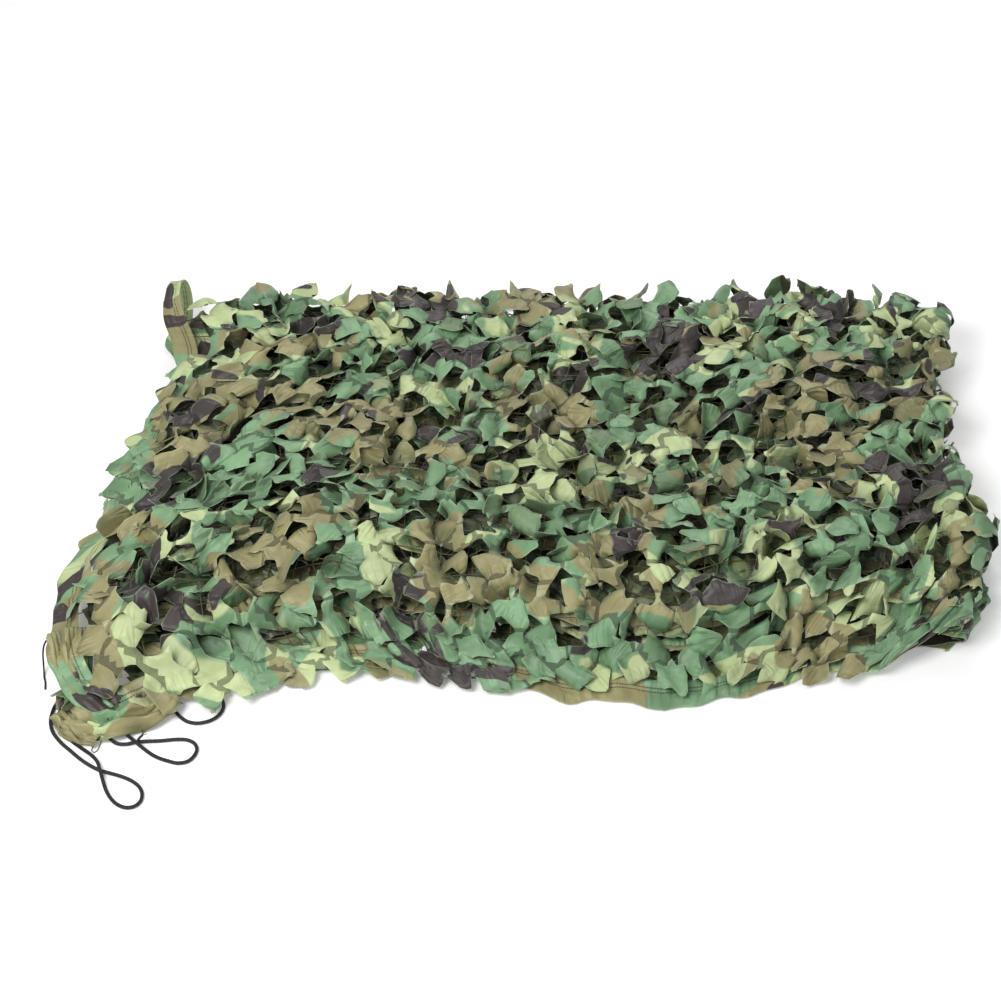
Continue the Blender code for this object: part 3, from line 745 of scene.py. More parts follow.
def settle(points, vertex, patch, patches, shape, rounds, hold):
    """Lets the patches find their places: each keeps its stiff shape, and they share what joins them.

    In every round each patch takes the turn that brings its shape nearest to where its points are
    now (the turn in the polar form of their covariance). A point then goes to the mean of what its
    patches want, and what holds the cloth moves it last.
    """
    count = patch_sums(np.ones(len(patch)), patch, patches)[:, None]
    shape = shape - (patch_sums(shape, patch, patches) / count)[patch]
    uses = np.bincount(vertex, minlength=len(points))[:, None]
    order = np.argsort(vertex, kind="stable")
    starts = np.searchsorted(vertex[order], np.arange(len(points)))
    for _ in range(rounds):
        now = points[vertex]
        middle = patch_sums(now, patch, patches) / count
        spread = (now - middle[patch])[:, :, None] * shape[:, None, :]
        left, _, right = np.linalg.svd(patch_sums(spread.reshape(-1, 9), patch, patches).reshape(-1, 3, 3))
        left[:, :, 2] *= np.linalg.det(left @ right)[:, None]
        turn = left @ right
        goal = middle[patch] + carried(turn[patch], shape)
        points = np.add.reduceat(goal[order], starts, axis=0) / uses
        hold(points)
    return points


def smooth_field(rng, x, y, spread, waves, shortest, longest):
    """A smooth random field: a few long sine waves with random headings."""
    total = np.zeros_like(x)
    for _ in range(waves):
        heading = rng.uniform(0, math.pi)
        number = 2 * math.pi / rng.uniform(shortest, longest)
        phase = rng.uniform(0, 2 * math.pi)
        total += np.sin((x * math.cos(heading) + y * math.sin(heading)) * number + phase)
    return total * spread / math.sqrt(waves / 2)


def rise(at, start, soft):
    """Nought before a place and one after it, with a soft rise about it."""
    share = np.clip((at - start) / soft + 0.5, 0, 1)
    return share * share * (3 - 2 * share)


def stretch(at, start, end, soft):
    """One between start and end, nought outside, with soft ends."""
    return rise(at, start, soft) * rise(-at, -end, soft)


def upper_inset(at, inset, bare_stretches, soft, waves, slower_waves):
    """The inset along an upper edge: it wavers, and goes softly over to another on each bare stretch."""
    bare = np.maximum.reduce([stretch(at, start, end, soft) * (there - inset)
                              for start, end, there in bare_stretches])
    return inset + bare + 0.004 * np.sin(at * waves + 2 * np.sin(at * slower_waves))


def edge_insets(across, along):
    """How far inside the net's edges the leaf cloth ends: left outer, left inner, front low, front high."""
    upper, inner = rise(along, NET_WIDTH / 2, 0.1), rise(across, NET_LENGTH / 2, 0.1)
    left_high = upper_inset(along, LEFT_INSET, LEFT_BARE, 0.07, 31, 13)
    left_outer = LEFT_LOW_INSET * (1 - upper) + left_high * upper
    front_high = upper_inset(across, FRONT_INSET, FRONT_BARE, 0.03, 27, 11)
    fronts = (inset * (1 - inner) + FRONT_INNER_INSET * inner for inset in (FRONT_LOW_INSET, front_high))
    return left_outer, LEFT_INNER_INSET, *fronts


def net_place(flat_x, flat_y, pitch):
    """Where flat cloth lies on the flat net: evenly gathered both ways between its insets."""
    share_x, share_y = flat_x / (CELLS_LONG * pitch), flat_y / (CELLS_WIDE * pitch)
    left, right, low, high = edge_insets(share_x * NET_LENGTH, share_y * NET_WIDTH)
    return (left + share_x * (NET_LENGTH - left - right), low + share_y * (NET_WIDTH - low - high))


def edge_room(net_x, net_y):
    """The distance from the net's nearest edge."""
    return np.minimum.reduce([net_x, NET_LENGTH - net_x, net_y, NET_WIDTH - net_y])


def fold_bulge(inner, upper, middle, reach):
    """How far the outer cloth stands off round the far fold."""
    return FOLD_LIFT * np.exp(-((upper - middle) / reach) ** 2) * (1 - inner)


def cloth_patches(quads, quad_patch):
    """Pairs of a vertex and a patch that has it, in the patches' order, and the numbers of those patches."""
    every = STARS + CELLS_LONG * CELLS_WIDE
    vertex, patch = np.divmod(np.unique(quads.ravel() * every + np.repeat(quad_patch, 4)), every)
    order = np.argsort(patch, kind="stable")
    kept, patch = np.unique(patch[order], return_inverse=True)
    return vertex[order], patch, kept


def start_stars(rng, pitch):
    """Where each star starts: spread evenly with drifts, and tilted about a level axis."""
    every = np.arange(STARS)
    x, y = net_place(every // STARS_WIDE * pitch, every % STARS_WIDE * pitch, pitch)
    free = np.clip((edge_room(x, y) - 0.02) / 0.07, 0, 1)
    x = x + free * (smooth_field(rng, x, y, 0.010, 10, 0.15, 0.5) + rng.normal(0, 0.006, STARS))
    y = y + free * (smooth_field(rng, x, y, 0.010, 10, 0.15, 0.5) + rng.normal(0, 0.006, STARS))
    z = free * rng.normal(0.0, 0.009, STARS) + fold_bulge(*fold_weights(x, y), 0.68, 0.30)
    tilt = free * rng.uniform(0.25, 1.20, STARS)
    return np.stack([x, y, z], axis=1), turned(tilt, rng.uniform(0, 2 * math.pi, STARS))


def start_leaves(cells, star_place, star_turn, pitch):
    """Where each leaf starts: turned about its hinge from the star that holds it."""
    hinge = cells["hinge"]
    host = ((np.arange(CELLS_LONG)[:, None] + ((hinge == 0) | (hinge == 3))) * STARS_WIDE
            + np.arange(CELLS_WIDE)[None, :] + (hinge < 2)).ravel()
    angle = hinge_angles(cells).ravel()
    reach = cells["size"].ravel() * 0.5 * pitch
    x, y = cells["x"].ravel() * pitch, cells["y"].ravel() * pitch
    hinge_x, hinge_y = x + reach * np.cos(angle), y + reach * np.sin(angle)
    star_x, star_y = host // STARS_WIDE * pitch, host % STARS_WIDE * pitch
    to_hinge = np.stack([hinge_x - star_x, hinge_y - star_y, 0 * x], axis=1)
    to_leaf = np.stack([x - hinge_x, y - hinge_y, 0 * x], axis=1)
    turn = star_turn[host] @ turned(cells["lift"].ravel(), angle + math.pi / 2)
    return star_place[host] + carried(star_turn[host], to_hinge) + carried(turn, to_leaf), turn


def layer_limits(net_x, net_y):
    """How low and how high the cloth may lie over its sheet. It is thinner towards the net's edges."""
    inner, upper = fold_weights(net_x, net_y)
    lows, highs = (layer_value(*[heights[end] for heights in LAYER_HEIGHTS], inner, upper) for end in (0, 1))
    under_top = np.maximum(HIGHEST - sheet_middle(net_x, net_y)[:, 2], 0.004)
    highs = np.minimum(highs, np.where(upper > 0.5, under_top, 1.0))
    highs += 1.6 * fold_bulge(inner, upper, 0.65, 0.35)
    inside = np.clip((edge_room(net_x, net_y) - 0.01) / 0.09, 0, 1)
    lows = lows * inside + 0.0015 * (1 - inside)
    return lows, np.maximum(highs * (0.30 + 0.70 * inside), lows + 0.002)


def cut_distances(quads, count, pitch):
    """Each vertex's distance from the nearest cut edge, which is nought on one: an edge of one quad only."""
    edges = np.sort(np.concatenate([quads[:, [side, (side + 1) % 4]] for side in range(4)]), axis=1)
    keys, uses = np.unique(edges[:, 0] * count + edges[:, 1], return_counts=True)
    distance = np.full(count, pitch / CELL_QUADS)
    distance[np.concatenate(np.divmod(keys[uses == 1], count))] = 0.0
    return distance


def shade_in_pile(net_x, net_y, height):
    """How much light is painted on the cloth: little in the layers under the top one, and less low in each.
    """
    inner, upper = fold_weights(net_x, net_y)
    noses = 4 * np.maximum(inner * (1 - inner), upper * (1 - upper) * (1 - inner))
    outside = np.clip(1.3 * np.maximum((1 - inner) * upper, noses), 0, 1)
    hidden = np.clip((edge_room(net_x, net_y) - 0.012) / 0.05, 0, 1) * (1 - outside)
    return (1 - 0.75 * hidden) * (0.35 + 0.65 * rise(height, -0.005, 0.020))


def make_leaf_cloth(sizes):
    """The whole leaf cloth: its quads and their places in the grid, its flat and folded points, and fields.

    It is cut into patches that settle against each other: a star round each corner between four leaves,
    and each leaf. The stars' middles are tied to the string mesh.
    """
    rng = np.random.default_rng(SEED)
    pitch = sizes.leaf_pitch
    cells = leaf_cells(rng)
    leaf, cut_long, cut_wide, grid_x, grid_y = slit_grid(cells, cut_necks(rng))
    quad_place = np.indices(leaf.shape)
    star_i, star_j = (quad_place + (CELL_QUADS + 1) // 2) // CELL_QUADS
    star = star_i * STARS_WIDE + star_j
    inside = (star_i > 0) & (star_i < CELLS_LONG) & (star_j > 0) & (star_j < CELLS_WIDE)
    kept_star = inside | (rng.random(STARS) < EDGE_STARS)[star]
    shown = np.where(leaf < 0, kept_star, ~cells["missing"].ravel()[leaf])
    used, quads = np.unique(split_corners(cut_long, cut_wide)[shown], return_inverse=True)
    quads = quads.reshape(-1, 4)
    quad_place, leaf, star = quad_place[:, shown], leaf[shown], star[shown]
    grid_i, grid_j = np.divmod(used // 4, grid_x.shape[1])
    flat = np.stack([grid_x[grid_i, grid_j], grid_y[grid_i, grid_j]], axis=1) * pitch

    vertex, patch, kept = cloth_patches(quads, np.where(leaf < 0, star, STARS + leaf))
    is_leaf = kept >= STARS
    star_of, leaf_of = np.where(is_leaf, 0, kept), np.where(is_leaf, kept - STARS, 0)
    leaf_middle = (cells["x"].ravel()[leaf_of], cells["y"].ravel()[leaf_of])
    local = flat[vertex] - np.where(is_leaf, leaf_middle, np.divmod(star_of, STARS_WIDE)).T[patch] * pitch
    shape = creased(rng, local, patch, len(kept))
    heading = rng.uniform(0, 2 * math.pi, len(kept))[patch]
    pleats = np.empty((len(used), 2))
    pleats[vertex, 0] = local[:, 0] * np.cos(heading) + local[:, 1] * np.sin(heading) + patch % 61
    pleats[vertex, 1] = local[:, 1] * np.cos(heading) - local[:, 0] * np.sin(heading) + patch // 61

    star_place, star_turn = start_stars(rng, pitch)
    leaf_place, leaf_turn = start_leaves(cells, star_place, star_turn, pitch)
    turn = np.where(is_leaf[:, None, None], leaf_turn[leaf_of], star_turn[star_of])
    place = np.where(is_leaf[:, None], leaf_place[leaf_of], star_place[star_of])
    start = place[patch] + carried(turn[patch], shape)
    points = np.stack([np.bincount(vertex, column) for column in start.T], axis=1)
    points /= np.bincount(vertex)[:, None]

    net_x, net_y = net_place(flat[:, 0], flat[:, 1], pitch)
    lows, highs = layer_limits(net_x, net_y)
    tied = np.flatnonzero((grid_i % CELL_QUADS == 0) & (grid_j % CELL_QUADS == 0))
    tied_to = star_place[grid_i[tied] // CELL_QUADS * STARS_WIDE + grid_j[tied] // CELL_QUADS]

    def hold(points):
        points[tied] += (tied_to - points[tied]) * TIE_PULL
        points[:, 2] -= LIMIT_PULL * np.maximum(points[:, 2] - highs, 0)
        points[:, 2] += LIMIT_PULL * np.maximum(lows - points[:, 2], 0)

    rounds = sizes.settle_rounds
    points = settle(points, vertex, patch, len(kept), shape, rounds, hold)
    points[:, 2] = np.clip(points[:, 2], lows - LIMIT_SLACK, highs + LIMIT_SLACK)
    own = (np.bincount(vertex[~is_leaf[patch]], minlength=len(points)) == 0)[vertex] & is_leaf[patch]
    side = np.where(cells["lift"].ravel()[leaf_of[patch[own]]] > 0, 1.0, -1.0)
    points[vertex[own], 2] += LEAF_STANDOFF * side
    places = on_sheet(*points.T)
    places[:, 2] = soft_floor(places[:, 2], 0.0, 0.003)
    for axis, limit in ((2, HIGHEST), (1, FARTHEST)):
        over = np.maximum(places[:, axis] - (limit - LIMIT_BEND), 0)
        places[:, axis] -= over - LIMIT_BEND * (1 - np.exp(-over / LIMIT_BEND))
    fields = {"pleats": pleats, "cut_distance": cut_distances(quads, len(used), pitch),
              "pile_shade": shade_in_pile(net_x, net_y, points[:, 2])}
    return quads[:, ::-1], quad_place, flat, places, fields


# ------------------------------------------------------------------ sizes and colours a user would change
def size_property(name, description, default, least, most):
    """A length in metres."""
    return FloatProperty(name=name, description=description, default=default, min=least, max=most,
                         unit="LENGTH")


def colour_property(name, description, *default):
    """A colour as screen values."""
    return FloatVectorProperty(name=name, description=description, subtype="COLOR", default=default,
                               min=0, max=1)


class CamoNetSizes(bpy.types.PropertyGroup):
    """Sizes of the net's cloth and strings."""
    leaf_pitch: size_property("Leaf pitch", "Distance from leaf to leaf on the flat cloth", 0.068, 0.04, 0.15)
    cloth_thickness: size_property("Cloth thickness", "Thickness of the leaf cloth", 0.0005, 0.0002, 0.002)
    settle_rounds: IntProperty(name="Settle rounds", description="How long the crumpled cloth settles",
                               default=60, min=1, max=500)
    string_spacing: size_property("String spacing", "Side of an opening of the string mesh", 0.055, 0.02, 0.2)
    string_thickness: size_property("String thickness", "Thickness of the mesh's string",
                                    0.0013, 0.0005, 0.004)


class CamoNetColours(bpy.types.PropertyGroup):
    """Colours of the print, the cords and the strings."""
    mid_green: colour_property("Mid green", "Main ink", 0.475, 0.62, 0.46)
    deep_green: colour_property("Deep green", "Soft darker patches of the main ink", 0.36, 0.50, 0.35)
    light_green: colour_property("Light green", "Light ink", 0.73, 0.785, 0.575)
    khaki: colour_property("Khaki", "Brown-green ink", 0.58, 0.56, 0.39)
    dark_brown: colour_property("Dark brown", "Darkest ink", 0.24, 0.21, 0.20)
    back: colour_property("Back", "Unprinted side of the cloth", 0.33, 0.35, 0.20)
    # The cut edges' paler colour: partly the bare yarn's own, partly a painted highlight
    cut_edge: colour_property("Cut edge", "Bare yarn along the cut edges", 0.84, 0.90, 0.76)
    cord: colour_property("Cord", "Hanging loops and tie", 0.055, 0.062, 0.070)
    string: colour_property("String", "String of the mesh", 0.38, 0.35, 0.22)


def finish_piece(piece, nodes=()):
    """A piece rides on the one body, and the model's parts that it stands for are hidden."""
    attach(piece, "root")
    if nodes:
        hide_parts(*nodes)
    return piece


class CAMO_OT_cords(bpy.types.Operator):
    """Lay the three hanging loops and the tie"""
    bl_idname = "camo_net.add_cords"
    bl_label = "Add cords"

    def execute(self, context):
        black = cord_material("black_cord", context.scene.camo_net_colours.cord)
        for name, route, diameter, far_end in (("cord_loop_a", LOOP_A_ROUTE, LOOP_DIAMETER, "object"),
                                               ("cord_loop_b", LOOP_B_ROUTE, LOOP_DIAMETER, "object"),
                                               ("cord_loop_c", LOOP_C_ROUTE, LOOP_DIAMETER, "object"),
                                               ("cord_tie", TIE_ROUTE, TIE_DIAMETER, "bare")):
            piece, path, metres = tube_piece(name + "_braid", route, diameter, 12, black)
            finish_piece(piece, [name])
            for number, (tail, thick) in enumerate(FRAYED_TAIL if name == "cord_loop_b" else ()):
                end = tube_piece("frayed_tail_%d" % (number + 1), tail, thick, 8, black)[0]
                finish_piece(end)
        return {"FINISHED"}


def tube_piece(name, route, diameter, sides, material):
    """A round tube along a smooth curve through a route, with a ring of points at each place.

    Each ring starts at the top, and the ends are closed by a point. Gives the piece, its path and its length.
    """
    route = np.array(route)
    distance = np.concatenate([[0.0], np.cumsum(np.linalg.norm(np.diff(route, axis=0), axis=1))])
    count = int(distance[-1] / (diameter * RING_SPACING))
    path = smooth_curve(distance, route, np.linspace(0, distance[-1], count + 1))
    ahead = np.gradient(path, axis=0)
    ahead /= np.linalg.norm(ahead, axis=1, keepdims=True)
    up = np.array([0.0, 0.0, 1.0]) - ahead * ahead[:, 2:3]
    up /= np.linalg.norm(up, axis=1, keepdims=True)
    turn = np.linspace(0, 2 * math.pi, sides, endpoint=False)[None, :, None]
    ring = np.cos(turn) * up[:, None] + np.sin(turn) * np.cross(ahead, up)[:, None]
    points = (path[:, None] + ring * diameter / 2).reshape(-1, 3)
    tips = path[[0, -1]] + ahead[[0, -1]] * diameter * [[-END_LENGTH], [END_LENGTH]]
    index = np.arange(len(points)).reshape(len(path), sides)
    beside = np.roll(index, -1, axis=1)
    walls = np.stack([index[1:], beside[1:], beside[:-1], index[:-1]], axis=-1).reshape(-1, 4)
    first_tip, last_tip = np.full(sides, len(points)), np.full(sides, len(points) + 1)
    faces = np.concatenate([walls[:, :3], walls[:, [0, 2, 3]],
                            np.stack([beside[0], first_tip, index[0]], axis=-1),
                            np.stack([index[-1], last_tip, beside[-1]], axis=-1)])
    piece = mesh_piece(name, np.concatenate([points, tips]), faces, [material])
    metres = float(np.linalg.norm(np.diff(path, axis=0), axis=1).sum())
    along = np.repeat(np.linspace(0, metres, len(path)), sides)
    round_it = np.tile(turn.ravel() / (2 * math.pi) * diameter * 3, len(path))
    store(piece, round_cord=np.concatenate([np.stack([along, round_it], axis=1), [[0, 0], [metres, 0]]]))
    return piece, path.tolist(), metres


class CAMO_OT_leaf_cloth(bpy.types.Operator):
    """Slit, crumple and fold the leaf cloth"""
    bl_idname = "camo_net.add_leaf_cloth"
    bl_label = "Add leaf cloth"

    def execute(self, context):
        sizes, colours = context.scene.camo_net_sizes, context.scene.camo_net_colours
        quads, quad_place, flat, places, fields = make_leaf_cloth(sizes)
        materials = [cloth_material("leaf_cloth_" + side, colours, side) for side in ("face", "back", "rim")]
        is_inner = quad_place[0] >= CELLS_LONG * CELL_QUADS // 2
        is_upper = quad_place[1] >= CELLS_WIDE * CELL_QUADS // 2
        for name, inner, upper in (("outer_low", False, False), ("inner_low", True, False),
                                   ("inner_high", True, True), ("outer_high", False, True)):
            chosen = quads[(is_inner == inner) & (is_upper == upper)]
            used, faces = np.unique(chosen, return_inverse=True)
            piece = mesh_piece("leaf_cloth_" + name, places[used], faces.reshape(-1, 4), materials)
            store(piece, flat_cloth=flat[used], **{key: values[used] for key, values in fields.items()})
            thicken(piece, sizes.cloth_thickness, 1, 2)
            piece.cycles.shadow_terminator_offset = 0.10
            piece.cycles.shadow_terminator_geometry_offset = 0.35
            finish_piece(piece, ["netting"])
        return {"FINISHED"}


def strip_grid(name, runs_long, far):
    """A border strip as a grid of places: how far along and across it, and where that is.

    The folded casing is fuller, and it dips at the seams. Gathers are slanted waves, strong only where
    a slower wave runs high. The outer edge swings a little.
    """
    length, width = (NET_LENGTH, NET_WIDTH) if runs_long else (NET_WIDTH, NET_LENGTH)
    ends = 0.0 if runs_long else BORDER_WIDTH * 0.4
    steps = int(length / STRIP_STEP)
    u, v = np.meshgrid(np.linspace(ends, length - ends, steps), np.linspace(0, 1, STRIP_ROWS), indexing="ij")
    seed = len(name) * 1.7 + far
    strong = np.clip(np.sin(u * 19 + seed + 1.5 * np.sin(u * 7)) - 0.15, 0, 1) ** 2
    gathers = np.sin(u * 290 + v * 3.0 + 2.5 * np.sin(u * 41 + seed)) * (0.25 + strong)
    gathers *= np.sin(math.pi * (0.1 + 0.8 * v))
    casing = 0.0016 * np.sin(np.clip(v * BORDER_WIDTH / SEAMS[0], 0, 1) * math.pi)
    dips = sum(np.exp(-((v * BORDER_WIDTH - place) / 0.0016) ** 2) for place in SEAMS)
    swing = 0.0045 * np.sin(u * 33 + seed) + 0.003 * np.sin(u * 81 + 2 * seed) + 0.005 * strong
    inset = BORDER_WIDTH * v + np.clip(swing, -0.005, 0.011) * (1 - v) ** 1.5
    edge = width - inset if far else inset
    across, down = (u, edge) if runs_long else (edge, u)
    inner, _ = fold_weights(across, down)
    past = u - TAB_PLACE
    tab = np.exp(-(past / np.where(past < 0, 0.030, 0.055)) ** 2) * TAB_RISE * (name == "border_short_outer")
    first, rest = STRIP_HEIGHTS[name]
    height = first * (1 - inner) + rest * inner + casing - 0.0006 * dips + 0.0036 * gathers + tab
    places = on_sheet(across, down, height)
    places[..., 1] += 0.5 * tab
    places[..., 2] = soft_floor(places[..., 2], 0.0018, 0.002)
    return u, v * BORDER_WIDTH, places


def grid_quads(shape):
    """The quads of a grid of points."""
    index = np.arange(shape[0] * shape[1]).reshape(shape[:2])
    return np.stack([index[:-1, :-1], index[1:, :-1], index[1:, 1:], index[:-1, 1:]], axis=-1).reshape(-1, 4)


class CAMO_OT_borders(bpy.types.Operator):
    """Sew the border strips"""
    bl_idname = "camo_net.add_borders"
    bl_label = "Add borders"

    def execute(self, context):
        colours = context.scene.camo_net_colours
        materials = [cloth_material("border_cloth_" + side, colours, side, 0.030, side == "face")
                     for side in ("face", "rim")]
        for name, runs_long, far, lane in (
                ("border_long_lower", True, False, 7.0), ("border_long_upper", True, True, 8.2),
                ("border_short_outer", False, False, 9.3), ("border_short_inner", False, True, 10.4)):
            u, v, places = strip_grid(name, runs_long, far)
            u, v, quads = u.ravel(), v.ravel(), grid_quads(places.shape)
            quads = quads[:, ::-1] if far else quads
            piece = mesh_piece(name + "_strip", places.reshape(-1, 3), quads, materials)
            store(piece, flat_cloth=np.stack([u, v + lane], axis=1), pleats=np.stack([u, v], axis=1),
                  cut_distance=np.full(u.size, UNCUT), strip_across=v, strip_along=u)
            thicken(piece, STRIP_THICKNESS)
            finish_piece(piece, [name])
        return {"FINISHED"}


class CAMO_OT_strings(bpy.types.Operator):
    """Knot the string mesh that holds the leaf cloth"""
    bl_idname = "camo_net.add_strings"
    bl_label = "Add string mesh"

    def execute(self, context):
        sizes, colours = context.scene.camo_net_sizes, context.scene.camo_net_colours
        rng = np.random.default_rng(SEED + 1)
        waves = [[(rng.uniform(0, math.pi), rng.uniform(0.10, 0.45), rng.uniform(0, 6.28)) for _ in range(8)]
                 for _ in range(3)]

        def drift(u, v, kind):
            ahead = ((u * math.cos(heading) + v * math.sin(heading), wavelength, phase)
                     for heading, wavelength, phase in waves[kind])
            return sum(np.sin(2 * math.pi * way / wavelength + phase) for way, wavelength, phase in ahead) / 2

        points, quads, first = [], [], 0
        inset = BORDER_WIDTH * 0.8
        half = sizes.string_thickness / 2 * STRING_FULLNESS
        for runs_long in (True, False):
            length, width = (NET_LENGTH, NET_WIDTH) if runs_long else (NET_WIDTH, NET_LENGTH)
            lines = np.arange(inset + sizes.string_spacing / 2, width - inset, sizes.string_spacing)
            along = np.linspace(inset, length - inset, int((length - 2 * inset) / STRING_STEP))
            far, near = np.meshgrid(lines, along, indexing="ij")
            u, v = (near, far) if runs_long else (far, near)
            strings = np.stack([u + STRING_DRIFT * drift(u, v, 0), v + STRING_DRIFT * drift(u, v, 1),
                                STRING_HEIGHT + STRING_WAVE * drift(u, v, 2)])
            rings = []
            for corner in (np.arange(4) + 0.5) * math.pi / 2:
                out, up = half * math.cos(corner), half * math.sin(corner)
                aside = (0, out, up) if runs_long else (out, 0, up)
                rings.append(on_sheet(*(strings + np.reshape(aside, (3, 1, 1)))))
            ring = np.stack(rings, axis=2)
            ring[..., 2] = np.maximum(ring[..., 2], 0.0004)
            index = first + np.arange(ring[..., 0].size).reshape(ring.shape[:3])
            beside = np.roll(index, -1, axis=2)
            walls = np.stack([index[:, :-1], beside[:, :-1], beside[:, 1:], index[:, 1:]], axis=-1)
            walls = walls.reshape(-1, 4)
            quads.append(walls if runs_long else walls[:, ::-1])
            points.append(ring.reshape(-1, 3))
            first += index.size
        piece = mesh_piece("string_mesh", np.concatenate(points), np.concatenate(quads),
                           [string_material("mesh_string", colours.string)])
        finish_piece(piece)
        return {"FINISHED"}


def folds(at):
    """A zigzag between -1 and 1 with straight flanks and crisp ridges."""
    return 2 / math.pi * np.arcsin(np.sin(math.pi * at))


def gathered_grid(route, width, crown, phase):
    """A gathered flap along a route: a low dome, with crisp folds along it and short ones across."""
    u, v = np.meshgrid(np.linspace(0, 1, 72), np.linspace(-1, 1, 40), indexing="ij")
    centre = smooth_curve(np.linspace(0, 1, len(route)), np.array(route), u[:, 0])
    ahead = np.gradient(centre, axis=0)[:, :2]
    aside = np.stack([-ahead[:, 1], ahead[:, 0]], axis=1) / np.linalg.norm(ahead, axis=1, keepdims=True)
    ragged = 1 + 0.16 * folds(2.2 * u + phase) + 0.06 * folds(6.1 * u + 2 * phase + 0.3 * v)
    reach = v * width / 2 * ragged
    creases = (folds(2.6 * v + 0.7 * np.sin(5 * u + phase) + 0.9 * u) * 0.15
               + folds(6.5 * u + 0.9 * v + 0.5 * np.sin(6 * v + phase)) * 0.075
               + folds(2.3 * u - 1.9 * v + 1.7 * phase + 0.4 * np.sin(7 * u + 3 * v)) * 0.07)
    ends = np.clip(6 * u * (1 - u) + 0.15, 0, 1)
    dome = crown * np.sqrt(np.clip(1 - v ** 2, 0, 1)) * (0.8 + 0.2 * np.sin(11 * u + phase))
    x = centre[:, None, 0] + aside[:, None, 0] * reach + 0.002 * np.sin(31 * v + 9 * u)
    y = centre[:, None, 1] + aside[:, None, 1] * reach
    z = centre[:, None, 2] + dome + creases * width * ends * (1 - 0.5 * v ** 4)
    # Painted shade: the gathered cloth is darker down in its fold valleys
    shade = 0.42 + 0.58 * rise(creases / 0.295, -0.25, 0.9)
    return u, v, np.stack([x, y, soft_floor(z, 0.002, 0.002)], axis=-1), shade


def sleeve_grid():
    """The casing's open mouth that the long loop leaves by: a wavy funnel, level and a little flattened."""
    u, turn = np.meshgrid(np.linspace(0, 1, 26), np.linspace(0, 2 * math.pi, 49), indexing="ij")
    start, ahead, aside = np.array(((-0.702, -0.412, 0.017), (-0.050, -0.046, -0.001), (0.68, -0.73, 0.0)))
    radius = 0.009 + 0.006 * u ** 1.5 + 0.0018 * np.sin(5 * turn + 4 * u) + 0.001 * np.sin(11 * turn)
    places = (start + ahead * (u + 0.10 * u * np.sin(3 * turn + 1))[..., None]
              + aside * (radius * 1.25 * np.cos(turn))[..., None])
    places[..., 2] = np.maximum(places[..., 2] + radius * 0.85 * np.sin(turn), 0.0012)
    return u, turn, places


class CAMO_OT_corner(bpy.types.Operator):
    """Gather the casing at the corner that the cords leave by, and add its loose ends"""
    bl_idname = "camo_net.add_corner"
    bl_label = "Add gathered corner"

    def execute(self, context):
        colours = context.scene.camo_net_colours
        materials = [cloth_material("corner_cloth_" + side, colours, side, more)
                     for side, more in (("face", 0.075), ("back", 0.0), ("rim", 0.075))]
        for number, row in enumerate(GATHERS):
            u, v, places, shade = gathered_grid(*row)
            self.add_piece(CORNER_PIECES[number], u * 0.2, v * row[1] * 0.6, places, shade, materials, number)
        u, turn, places = sleeve_grid()
        # Painted shade: the casing's mouth is darkened evenly to 0.8
        self.add_piece(CORNER_PIECES[-1], u * 0.06, turn * 0.014, places, 0.8 + 0.0 * u, materials, 5)
        thread = string_material("loose_thread", colours.string)
        piece, path, metres = tube_piece("thread_loop", THREAD_ROUTE, THREAD_DIAMETER, 6, thread)
        finish_piece(piece)
        return {"FINISHED"}

    def add_piece(self, name, u, v, places, shade, materials, lane):
        """One gathered piece, thickened like the other cloth."""
        piece = mesh_piece(name, places.reshape(-1, 3), grid_quads(places.shape), materials)
        u, v = u.ravel(), v.ravel()
        store(piece, flat_cloth=np.stack([u + 13.0 + 0.5 * lane, v + 3.0], axis=1),
              pleats=np.stack([v, u], axis=1), cut_distance=np.full(u.size, UNCUT), pile_shade=shade.ravel())
        thicken(piece, CORNER_THICKNESS, 1, 2)
        finish_piece(piece)


class CAMO_OT_stage(bpy.types.Operator):
    """Set the pale floor, the soft lights and the camera"""
    bl_idname = "camo_net.add_stage"
    bl_label = "Add stage"

    def execute(self, context):
        corners = [(-6, -6, FLOOR_HEIGHT), (6, -6, FLOOR_HEIGHT), (6, 8, FLOOR_HEIGHT), (-6, 8, FLOOR_HEIGHT)]
        mesh_piece("floor", corners, [[0, 1, 2, 3]], [floor_material()], smooth=False)
        for name, place, size, power in LIGHTS:
            add_area_light(name, place, size, power)
        world = bpy.data.worlds.new("soft_white")
        world.use_nodes = True
        background = world.node_tree.nodes["Background"].inputs
        background["Color"].default_value = (1, 1, 1, 1)
        background["Strength"].default_value = SURROUND_STRENGTH
        context.scene.world = world
        context.scene.view_settings.view_transform = "Standard"
        add_camera(context.scene)
        return {"FINISHED"}


def floor_material():
    """A plain pale floor, with the faintest cloudiness."""
    sheet = NodeSheet("pale_floor", Roughness=0.9, Emission_Color=(1, 1, 1, 1), Emission_Strength=0.16)
    cloud = sheet.noise(sheet.node("ShaderNodeTexCoord").outputs["Object"], 1.5, 3.0)
    sheet.put(sheet.shader["Base Color"], sheet.mix(cloud, (0.93, 0.93, 0.93, 1), (0.96, 0.96, 0.96, 1)))
    return sheet.material


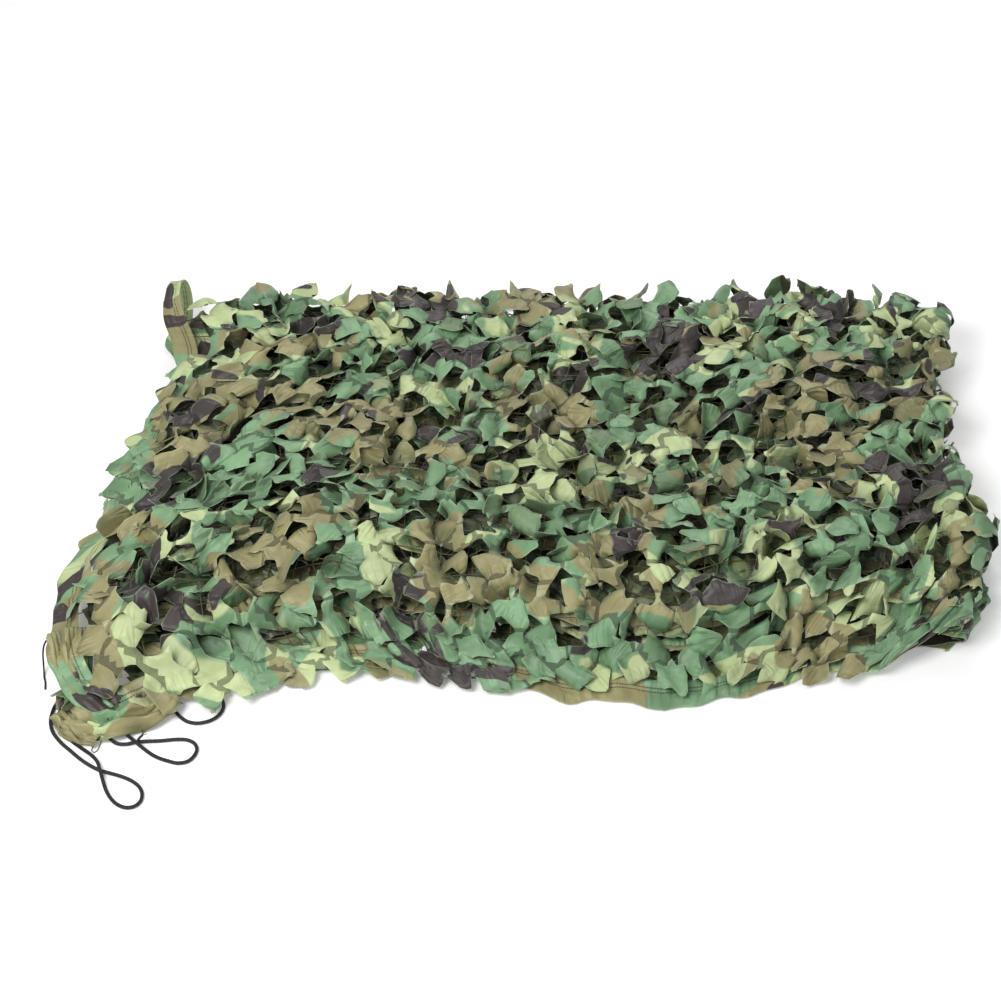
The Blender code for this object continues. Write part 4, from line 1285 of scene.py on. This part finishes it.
def add_area_light(name, place, size, power):
    """A square soft light that looks at the middle of the floor."""
    lamp = bpy.data.lights.new(name, "AREA")
    lamp.shape, lamp.size, lamp.energy = "SQUARE", size, power
    light = bpy.data.objects.new(name, lamp)
    light.location = place
    light.rotation_euler = (-Vector(place)).to_track_quat("-Z", "Y").to_euler()
    bpy.context.collection.objects.link(light)


def add_camera(scene):
    """The camera looks down over the front edge at about 42 degrees."""
    data = bpy.data.cameras.new("camera")
    data.sensor_width, data.lens, data.clip_start = 36.0, LENS, 0.05
    camera = bpy.data.objects.new("camera", data)
    camera.location = CAMERA_PLACE
    camera.rotation_euler = (Vector(CAMERA_AIM) - camera.location).to_track_quat("-Z", "Y").to_euler()
    scene.collection.objects.link(camera)
    scene.camera = camera


class CAMO_PT_panel(bpy.types.Panel):
    """Lists the net's sizes, colours and pieces"""
    bl_label = "Camouflage Net"
    bl_idname = "CAMO_PT_panel"
    bl_space_type = "VIEW_3D"
    bl_region_type = "UI"
    bl_category = "Camo Net"

    def draw(self, context):
        layout = self.layout
        for group in (context.scene.camo_net_sizes, context.scene.camo_net_colours):
            for key in group.__annotations__:
                layout.prop(group, key)
        for operator in OPERATORS:
            layout.operator(operator.bl_idname)


OPERATORS = (CAMO_OT_cords, CAMO_OT_leaf_cloth, CAMO_OT_borders, CAMO_OT_strings, CAMO_OT_corner,
             CAMO_OT_stage)
CLASSES = (CamoNetSizes, CamoNetColours, *OPERATORS, CAMO_PT_panel)


def register():
    for item in CLASSES:
        bpy.utils.register_class(item)
    bpy.types.Scene.camo_net_sizes = PointerProperty(type=CamoNetSizes)
    bpy.types.Scene.camo_net_colours = PointerProperty(type=CamoNetColours)


def unregister():
    del bpy.types.Scene.camo_net_sizes
    del bpy.types.Scene.camo_net_colours
    for item in reversed(CLASSES):
        bpy.utils.unregister_class(item)


def main():
    register()
    bpy.ops.camo_net.add_cords()
    bpy.ops.camo_net.add_stage()
    bpy.ops.camo_net.add_leaf_cloth()
    bpy.ops.camo_net.add_corner()
    bpy.ops.camo_net.add_borders()
    bpy.ops.camo_net.add_strings()


if __name__ == "__main__":
    main()
